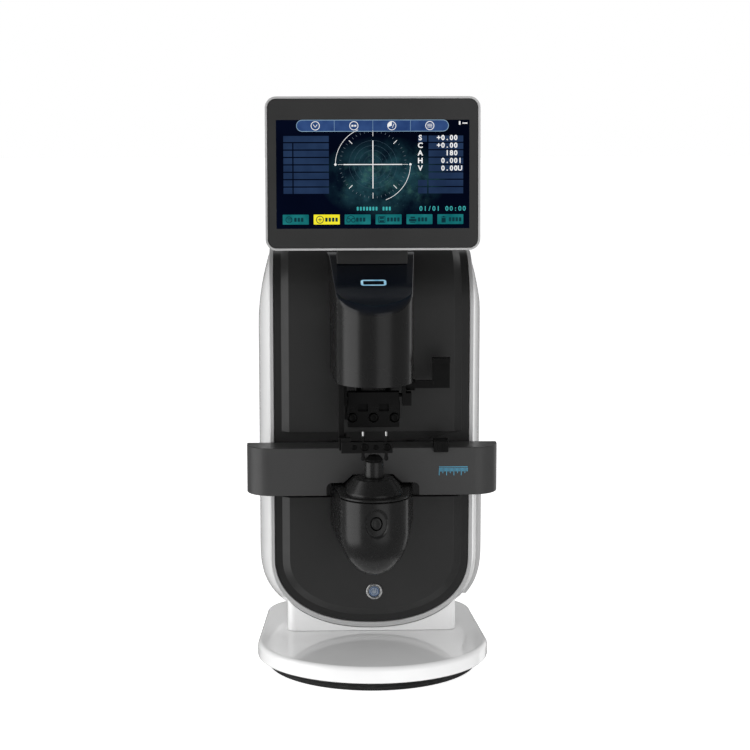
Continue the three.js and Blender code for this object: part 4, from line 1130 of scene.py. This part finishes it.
def build_keys():
    """Six keys along the bottom; the second is the one chosen.  Blocks stand for their words."""
    teal, dark = [], []
    for index, kind in enumerate(("list", "aim", "lenses", "store", "print", "clear")):
        left = -72.1 + 24.7 * index
        key = strip(left, left + 20.8, -39.8, -31.9, 2, 0.5)
        if kind == "aim":
            on_display("key_chosen", [key], UI_YELLOW)
        else:
            teal.append(key)
        dark += key_sign(kind, left + 5.0, -36.0)
        for i in range(4 if index % 2 else 3):
            dark.append(strip(left + 9.2 + 2.7 * i, left + 11.1 + 2.7 * i, -37.6, -34.4, 4, 0.4))
    on_display("keys", teal, UI_TEAL)
    on_display("key_signs", dark, UI_DARK)
    words = [strip(start + 2.5 * i, start + 2.5 * i + 1.5, -28.8, -25.8, 4, 0.3)
             for start, count in ((-13.0, 7), (7.6, 3)) for i in range(count)]
    on_display("words", words + numerals("01/01 00:00", 74.6, -27.2, 3.7, 3.46, 0.03), UI_TEXT)


def build_display():
    half_width, half_height = PICTURE_WIDTH / 2, PICTURE_HEIGHT / 2
    on_display("picture", [strip(-half_width, half_width, -half_height, half_height, 0)], SKY)
    build_target()
    build_tables()
    build_top_bar()
    build_keys()


# ---------------------------------------------------------------- lower housing and nose


def housing_plan(radius, z, rear):
    """Plan at one level: a half circle in front, spreading sides, flat at the panel."""
    sides = []
    for i in range(1, 9):
        t = i / 8
        sides.append((radius * (1 + (FLARE - 1) * t), AXIS_Y + (rear - AXIS_Y) * t))
    return [(x, y, z) for x, y in arc(0, AXIS_Y, radius, 180, 360, 120) + sides + mirrored(sides)]


def dish_push(x, y, z):
    """How far back the oval finger dish pushes a point of the housing's front."""
    away = math.hypot((x - READ_X) / 9.6, (z - READ_Z) / 12.2)
    if y > AXIS_Y or away >= 1:
        return 0.0
    wall = min((1 - away) / 0.16, 1.0)
    return DISH_DEPTH * wall * wall * (3 - 2 * wall) + 0.5 * (1 - away)


def housing_levels(inset, bottom, top):
    """(radius, height) up the housing: a rounded bottom, then straight."""
    radius = HOUSING_RADIUS - inset
    levels = []
    for i in range(27):
        share = math.cos(math.pi / 2 * i / 27 + 0.015)
        levels.append((radius * max(1 - share ** HOUSING_POWER, 0.0004) ** (1 / HOUSING_POWER),
                       HOUSING_STRAIGHT - (HOUSING_STRAIGHT - bottom) * share))
    pitch = 0.55
    straight = int((top - HOUSING_STRAIGHT) / pitch)
    return levels + [(radius, HOUSING_STRAIGHT + pitch * i) for i in range(straight)]


def build_lower_housing():
    front = AXIS_Y - HOUSING_RADIUS
    rim = arc(HOUSING_RADIUS - HOUSING_RIM, HOUSING_TOP - HOUSING_RIM, HOUSING_RIM, 0, 90, 6)
    outer = [housing_plan(radius, z, FIELD_Y - GAP)
             for radius, z in housing_levels(0, HOUSING_BOTTOM, HOUSING_TOP) + rim]
    outer = skin([[(x, y + dish_push(x, y, z), z) for x, y, z in ring] for ring in outer])
    inside = 2.9
    inner = housing_levels(inside, HOUSING_BOTTOM + 3, HOUSING_TOP + 1)
    inner.append((HOUSING_RADIUS - inside, HOUSING_TOP + 1))
    inner = skin([housing_plan(radius, z, FIELD_Y - GAP) for radius, z in inner])
    hole = prism("y", ellipse(READ_X, READ_Z, 4.9, 5.8), front - 3, front + 12)
    stand_in("lower_housing", cut(outer, inner, hole), HOUSING_BLACK, angle=40)
    dome = [(0, 9), (0, 2.2), (0.15, 1.8), (0.5, 1.5), (1.1, 1.35), (1.9, 1.4), (2.8, 1.5), (3.6, 1.55)]
    rings = [[(x, front + y, z) for x, z in ellipse(READ_X, READ_Z, 4.1 - shrink, 5.0 - shrink)]
             for shrink, y in dome]
    stand_in("read_button", skin(rings), HOUSING_BLACK, angle=50)


def build_nose():
    """The housing's cap, the nose tube through it and the tip that the lens rests on."""
    rear = FRONT_Y - GAP
    rim = [(27.4, 150.9), (28.0, 151.15), (28.2, 151.6), (28.2, 152.3), (28.0, 152.8), (27.2, 153.3),
           (26.0, 153.6)]
    neck = [(23.0, 152.8), (23.0, 154.6), (22.8, 155.2), (22.4, 155.8), (16.0, 165.1), (15.4, 165.7),
            (14.6, 166)]
    slope = [(-22.5, 152.6), (22.5, 152.6), (22.5, 155), (15.2, 161.9), (-15.2, 161.9), (-22.5, 155)]
    lid = join(skin([housing_plan(radius, z, rear) for radius, z in rim]),
               round_bar("z", neck, 0, AXIS_Y, 120), rounded(prism("y", slope, AXIS_Y, rear), 0.6, 3))
    stand_in("lower_cap", cut(lid, bar("z", 6.4, 140, 180, 0, AXIS_Y)), HOUSING_BLACK, angle=38)

    nose = [(4.5, 154), (6.1, 154), (6.1, 166.3), (7.3, 166.3), (7.7, 166.7), (7.7, 178.2), (7.5, 179.0),
            (7.1, 179.7), (6.6, 180.0), (4.5, 180.0)]
    stand_in("nose_tube", tube("z", nose, 0, AXIS_Y, 80), HOUSING_BLACK)
    tip = [(3.0, 180.1), (6.9, 180.1), (7.2, 180.4), (7.2, 180.9), (6.9, 181.3), (4.9, 183.6),
           (4.6, 183.95), (4.2, 184.15), (3.5, 184.2), (3.1, 184.1), (3.0, 183.7)]
    stand_in("lens_rest_tip", tube("z", tip, 0, AXIS_Y, 80), MECHANISM)
    finish_node("sensor_barrel", MECHANISM)


# ---------------------------------------------------------------- lens table


def table_plan(inset, rear):
    half, corner = TABLE_HALF - inset, TABLE_CORNER - inset
    left = arc(corner - half, TABLE_FRONT + inset + corner, corner, 180, 270, 24)
    return [(-half, rear)] + left + mirrored(left) + [(half, rear)]


def build_table():
    notch = [(-23.4, 150), (23.4, 150), (23.4, 155.5), (16.4, 162.4), (-16.4, 162.4), (-23.4, 155.5)]
    band = cut(prism("z", table_plan(0, TABLE_REAR), TABLE_BOTTOM, TABLE_TOP),
               prism("z", table_plan(TABLE_WALL, TABLE_REAR + 5), TABLE_BOTTOM - 1, TABLE_TOP - TABLE_WALL))
    band = cut(band, slot_through(-37.5, 37.5, 100, 155.5, 4.6, -60, 0), prism("y", notch, -60, 0))
    stand_in("lens_table", band, TABLE_BLACK, bevel=0.7, segments=4)

    start, proud, sunk = 54.0, TABLE_FRONT - 0.05, TABLE_FRONT + 0.3
    ticks = [block(start, start + 23.4, proud, sunk, 168.2, 168.6)]
    for index in range(24):
        low = 161.4 if index % 6 == 0 else (163.2 if index % 3 == 0 else 164.6)
        ticks.append(block(start + index, start + index + 0.4, proud, sunk, low, 167.6))
    piece("table_scale_marks", gather(ticks), [PRINT_BLUE], "lens_table")

    bush = [(4.3, 7.0), (8.5, 7.0), (9.1, 7.3), (9.3, 7.9), (9.3, 9.9), (6.0, 9.9), (6.0, 24.0),
            (4.3, 24.0)]
    for side, x in (("left", -ROD_X), ("right", ROD_X)):
        stand_in("table_rod_" + side, bar("y", 4, TABLE_FRONT + TABLE_WALL, 54, x, ROD_Z, 48), BLACKENED)
        stand_in("table_bush_" + side, tube("y", bush, x, ROD_Z), MECHANISM)
    finish_node("table_yoke", ALUMINIUM, 0.6)

    profile = [(-23.5, 181.2), (-20.3, 181.2), (-20.3, 184.8), (-13.4, 184.8), (-13.4, 189.6), (-15, 191.6),
               (-22, 191.6), (-23.5, 190)]
    slider = rounded(prism("x", profile, 49.4, 61.3), 0.5, 3)
    grips = [block(x - 0.35, x + 0.35, -24, -22.9, 182.5, 188.5) for x in (52.4, 54.4, 56.4, 58.4)]
    stand_in("nose_pad_slider", cut(slider, *grips), MECHANISM, bevel=0.12)


# ---------------------------------------------------------------- lens clamp


def facing_screw(x, y, z, radius):
    """The head of a cross-head screw whose axis runs along y, facing the user."""
    height = 0.35 * radius
    profile = [(radius, y + 0.6), (radius, y - height * 0.5), (radius * 0.86, y - height * 0.85),
               (radius * 0.6, y - height)]
    recess = cross(x, z, radius * 0.55, 0.28, y - height - 1, y - height * 0.35)
    return cut(round_bar("y", profile, x, z, 40), *recess)


def build_clamp():
    middle = (BAR_FRONT + BAR_REAR) / 2
    screw_z = 193.4
    arm = join(block(-28.2, -24, -46, -36, 189.6, 280),
               block(-28.2, -22.3, BAR_REAR + 0.1, -36, 189.6, 200))
    stand_in("clamp_arm", arm, MECHANISM, bevel=0.35)
    face = prism("z", rounded_rectangle(-26.7, 14.2, BAR_FRONT, BAR_REAR, 0.8, 4), 188.6, 197.4)
    raised = block(-26.7, -19.2, BAR_FRONT + 0.8, BAR_REAR, 189.6, 200.6)
    holes = [bar("z", 1.6, 170, 220, x, middle, 40) for x in (-PIN_X, PIN_X)]
    screws = ((-16.3, 1.9), (-8.0, 2.9), (0.9, 1.9), (9.8, 2.9))
    recesses = [bar("y", radius + 0.6, BAR_FRONT - 1, BAR_FRONT + 0.6, x, screw_z, 40)
                for x, radius in screws]
    stand_in("clamp_bar", cut(join(face, raised), *holes, *recesses), MECHANISM, bevel=0.25)
    heads = [facing_screw(x, BAR_FRONT + 0.55, screw_z, radius) for x, radius in screws]
    piece("clamp_screws", gather(heads), [BLACKENED], "clamp_bar", bevel=0.08)
    profile = [(0.4, 182.0), (1.0, 182.15), (1.5, 182.6), (1.7, 183.2), (1.7, 185.2), (1.3, 185.6),
               (1.3, 199.6), (1.7, 199.7), (1.7, 201.8), (1.0, 202.1), (0.95, 205.3), (0.8, 205.7),
               (0.4, 206.0)]
    for side, x in (("left", -PIN_X), ("right", PIN_X)):
        pin = paint(round_bar("z", profile, x, middle, 40), 1, lambda centre: centre.z < 202.0)
        stand_in("clamp_pin_" + side, pin, CHROME, MECHANISM, angle=45)


# ---------------------------------------------------------------- ink marker


def build_marker():
    """The carriage on its two guide rods, with the shaft that the pen carrier swings on."""
    y, z = SHAFT_Y, SHAFT_Z
    front, roof_bottom, roof_top = y - 5.5, 246, 249
    solids = [block(-26, 26, front, -8, roof_bottom, roof_top),
              block(-17, 17, -19.5, -8.5, roof_bottom, 262),
              block(-26, -21.4, front, y + 6, z - 8, roof_top),
              block(23.3, 26, front, y + 6, z - 8, roof_top),
              block(25.9, 30.6, front, y + 6, z - 8, z + 2)]
    holes = [bar("z", 3.3, 200, 300, x, GUIDE_Y, 40) for x in (-GUIDE_X, GUIDE_X)]
    holes.append(bar("x", 1.9, -40, 40, y, z, 32))
    stand_in("marker_carriage", cut(join(*solids), *holes), MECHANISM, bevel=0.35)
    stand_in("marker_shaft", bar("x", 1.6, -27.5, 27.5, y, z, 32, 0.4), BLACKENED)

    arm = join(block(26.1, 49, -22, -18, 234, 240), bar("x", 4.6, 26.1, 34, -22, 237, 56))
    paddle = join(block(48, 62.3, -21.6, -18.4, 234, 259), block(48, 62.3, -26, -18.4, 255, 259))
    ribs = [block(x, x + 0.7, -27, -17, 258.6, 260) for x in (50.6, 52.8, 55.0, 57.2, 59.4)]
    lever = cut(join(rounded(arm, 0.6, 3), rounded(paddle, 0.6, 3)), *ribs)
    stand_in("marker_lever", lever, MECHANISM, angle=40)
    build_pens()


def build_pens():
    """The pen carrier with its groove and two recesses, three pens, and the ink pad they rest against."""
    y, z = SHAFT_Y, SHAFT_Z
    shell = rounded(block(-20.8, 20.8, y - 3.5, y + 4.5, z - 26, z + 3), 0.7, 3)
    hollows = [block(-23, 23, y - 4, y - 3.2, z - 9.9, z - 9.4), bar("x", 1.8, -40, 40, y, z, 32)]
    hollows += [slot_through(x - 4.2, x + 4.2, z - 13, z - 6.5, 0.8, y - 5, y, 5) for x in (-8.5, 8.5)]
    hollows += [bar("y", 4.2, y - 10, y + 10, x, PEN_Z, 56) for x in PEN_PLACES]
    stand_in("pen_carrier", cut(shell, *hollows), MECHANISM, bevel=0.2)
    profile = [(1.2, y - 4.35), (1.8, y - 4.6), (2.7, y - 4.6), (3.2, y - 4.4), (3.5, y - 3.8),
               (3.5, y + 8.0), (3.1, y + 8.3), (3.1, y + 9.2), (3.5, y + 9.5), (3.5, y + 20), (2.2, y + 24.5),
               (1, y + 25), (0.8, y + 28.6), (0.3, y + 29)]
    for side, x in zip(("left", "centre", "right"), PEN_PLACES):
        stand_in("pen_" + side, round_bar("y", profile, x, PEN_Z, 48), BLACKENED, angle=40)
    pad = rounded(block(-23, 23, 0.8, FIELD_Y - GAP, z - 26, z - 10), 0.8, 3)
    wells = [bar("y", 4.2, 0, 2.6, x, PEN_Z, 48) for x in PEN_PLACES]
    stand_in("ink_cartridge", cut(pad, *wells), MECHANISM, bevel=0.2)


# ---------------------------------------------------------------- power button, printer and board


def build_power_button():
    x, z, front = BUTTON_X, BUTTON_Z, FIELD_Y
    ring = [(4.9, front - 0.7), (5.2, front - 1.15), (5.6, front - 1.3), (6.2, front - 1.25),
            (6.7, front - 0.9), (6.9, front - 0.4), (6.9, front - 0.05), (6.0, front - 0.05), (6.0, 24.0),
            (4.9, 24.0)]
    stand_in("power_button_ring", tube("y", ring, x, z, 80), BRIGHT_RING, angle=50)
    profile = [(3.0, front + 15), (3.0, front + 7.5), (4.6, front + 7.5), (4.6, front - 0.5),
               (4.4, front - 0.85), (4.1, front - 1.0), (3.9, front - 0.6), (3.5, front - 0.6),
               (3.3, front - 1.0), (1.0, front - 1.1)]
    cap = paint(round_bar("y", profile, x, z, 64), 1,
                lambda centre: 3.35 < math.hypot(centre.x - x, centre.z - z) < 4.0)
    # The common on-off sign: an open ring and a short upright bar.
    open_ring = arc(x, z, 2.5, 125, 415, 28) + arc(x, z, 1.9, 415, 125, 28)
    upright = [(x - 0.3, z + 0.6), (x + 0.3, z + 0.6), (x + 0.3, z + 2.8), (x - 0.3, z + 2.8)]
    signs = [paint(prism("y", sign, front - 1.1, front - 0.95), 1) for sign in (open_ring, upright)]
    stand_in("power_button_cap", gather([cap] + signs), BUTTON_METAL, SIGN_BLUE, angle=45)


def build_printer():
    x, y, z, half = 57.0, 62.0, 98.0, 28.5
    front, back = y - half, y + half
    roll = [(6.0, front), (19.2, front), (19.9, front + 0.3), (20, front + 1), (20, back - 1),
            (19.9, back - 0.3), (19.2, back), (6.0, back)]
    stand_in("paper_roll", tube("y", roll, x, z, 96), PAPER)
    finish_node("paper_tray", MECHANISM, 0.5)
    roller = [(2, y - 31), (2, y - 28.2), (4.6, y - 28), (5, y - 27.5), (5, y + 27.5), (4.6, y + 28),
              (2, y + 28.2), (2, y + 31)]
    stand_in("platen_roller", round_bar("y", roller, 78, 126, 56), RUBBER, angle=50)
    finish_node("print_head", ALUMINIUM, 0.5)


def build_board():
    """The main board with its chips and three rows of connector pins."""
    chips = [(-50, -30, 250, 270, 2.4), (-20, 4, 252, 276, 2.0), (14, 30, 230, 246, 1.6),
             (-52, -40, 205, 229, 5.0), (-28, -8, 204, 220, 1.8), (12, 32, 200, 210, 6.0),
             (-4, 4, 228, 244, 1.4), (18, 34, 268, 286, 3.0)]
    face = 93.65
    solids = [block(-60, 40, 92, face - 0.05, 190, 296)]
    solids += [paint(block(x0, x1, face, face + thick, z0, z1), 1) for x0, x1, z0, z1, thick in chips]
    solids += [paint(block(x0 + 1.6 * i, x0 + 1.6 * i + 0.8, face, 94.5, 193, 195.4), 2)
               for x0 in (-56, -24, 10) for i in range(14)]
    stand_in("main_board", gather(solids), BOARD, MECHANISM, STEEL, bevel=0.12)


# ---------------------------------------------------------------- studio


def softbox(name, place_at, width, height, power):
    """A soft light aimed at the middle of the instrument."""
    lamp = bpy.data.lights.new(name, "AREA")
    lamp.shape = "RECTANGLE"
    lamp.size = width
    lamp.size_y = height
    lamp.energy = power
    holder = linked(name, lamp)
    holder.location = place_at
    holder.rotation_euler = (Vector((0, 0, 0.25)) - Vector(place_at)).to_track_quat("-Z", "Y").to_euler()


def build_floor():
    """A wide pale sheet under the instrument, which leaves no reflection of itself in the glossy pieces."""
    made, tree = new_material("floor")
    colour = blend(tree, noise(tree, 300.0, 3.0), grey(0.88), grey(0.91))
    surfaced(made, Base_Color=colour, Roughness=spread(tree, noise(tree, 80.0, 3.0), 0.5, 0.6),
             Emission_Color=colour, Emission_Strength=0.75, Specular_IOR_Level=0.2)
    mirrored_ray = add(tree, "ShaderNodeLightPath").outputs["Is Glossy Ray"]
    clear = add(tree, "ShaderNodeBsdfTransparent").outputs[0]
    lit = tree.nodes["Principled BSDF"].outputs[0]
    both = add(tree, "ShaderNodeMixShader", {0: mirrored_ray, 1: lit, 2: clear})
    feed(tree, tree.nodes["Material Output"].inputs["Surface"], both.outputs[0])
    reach = 6000
    mesh = moved(block(-reach, reach, -reach, reach, -10, 0), Matrix.Scale(MM, 4))
    mesh.materials.append(made)
    linked("floor", mesh)


def build_world():
    """Even white light, weaker overhead and behind.  Glossy pieces mirror a much darker room."""
    world = bpy.data.worlds.new("studio")
    bpy.context.scene.world = world
    world.use_nodes = True
    tree = world.node_tree
    source = add(tree, "ShaderNodeTexCoord").outputs["Generated"]
    parts = add(tree, "ShaderNodeSeparateXYZ", {"Vector": source}).outputs
    behind = maths(tree, "MULTIPLY", spread(tree, parts["Y"], 0.0, 1.0, 0.25, 0.45),
                   spread(tree, parts["Z"], 1.0, 0.0, 0.35, 0.55))
    below = spread(tree, parts["Z"], 1.0, 0.0, -0.1, 0.05)
    dark_room = blend(tree, below, blend(tree, behind, grey(0.05), grey(0.25)), grey(0.16))
    level = blend(tree, spread(tree, parts["Y"], 0.0, 1.0, -0.1, 0.6), grey(1.4), grey(1.0))
    soft = blend(tree, spread(tree, parts["Z"], 0.0, 1.0, 0.0, 1.0), level, grey(0.25))
    rays = add(tree, "ShaderNodeLightPath").outputs
    light = blend(tree, rays["Is Glossy Ray"], soft, dark_room)
    light = blend(tree, rays["Is Camera Ray"], light, grey(1.0))
    feed(tree, tree.nodes["Background"].inputs["Color"], light)


def build_lights():
    softbox("left_softbox", (-1.45, -0.39, 0.35), 1.6, 2.2, 15.0)
    softbox("right_strip", (1.0, 1.15, 0.4), 0.7, 2.2, 3.0)
    softbox("front_fill", (0.9, -1.8, 0.35), 1.5, 2.2, 5.5)


def build_camera():
    lens = bpy.data.cameras.new("camera")
    lens.lens = 108.0
    lens.sensor_width = 36.0
    lens.clip_end = 100.0
    holder = linked("camera", lens)
    holder.location = (-0.06341, -1.8159, 0.5455)
    holder.rotation_euler = (math.radians(90 - 9.5), 0.0, math.radians(-2.0764))
    bpy.context.scene.camera = holder


build_base()
build_body()
build_front()
build_head()
build_screen()
build_display()
build_lower_housing()
build_nose()
build_table()
build_clamp()
build_marker()
build_power_button()
build_printer()
build_board()

build_floor()
build_world()
build_lights()
build_camera()
bpy.context.scene.view_settings.view_transform = "Standard"
bpy.context.scene.cycles.sample_clamp_indirect = 1.0
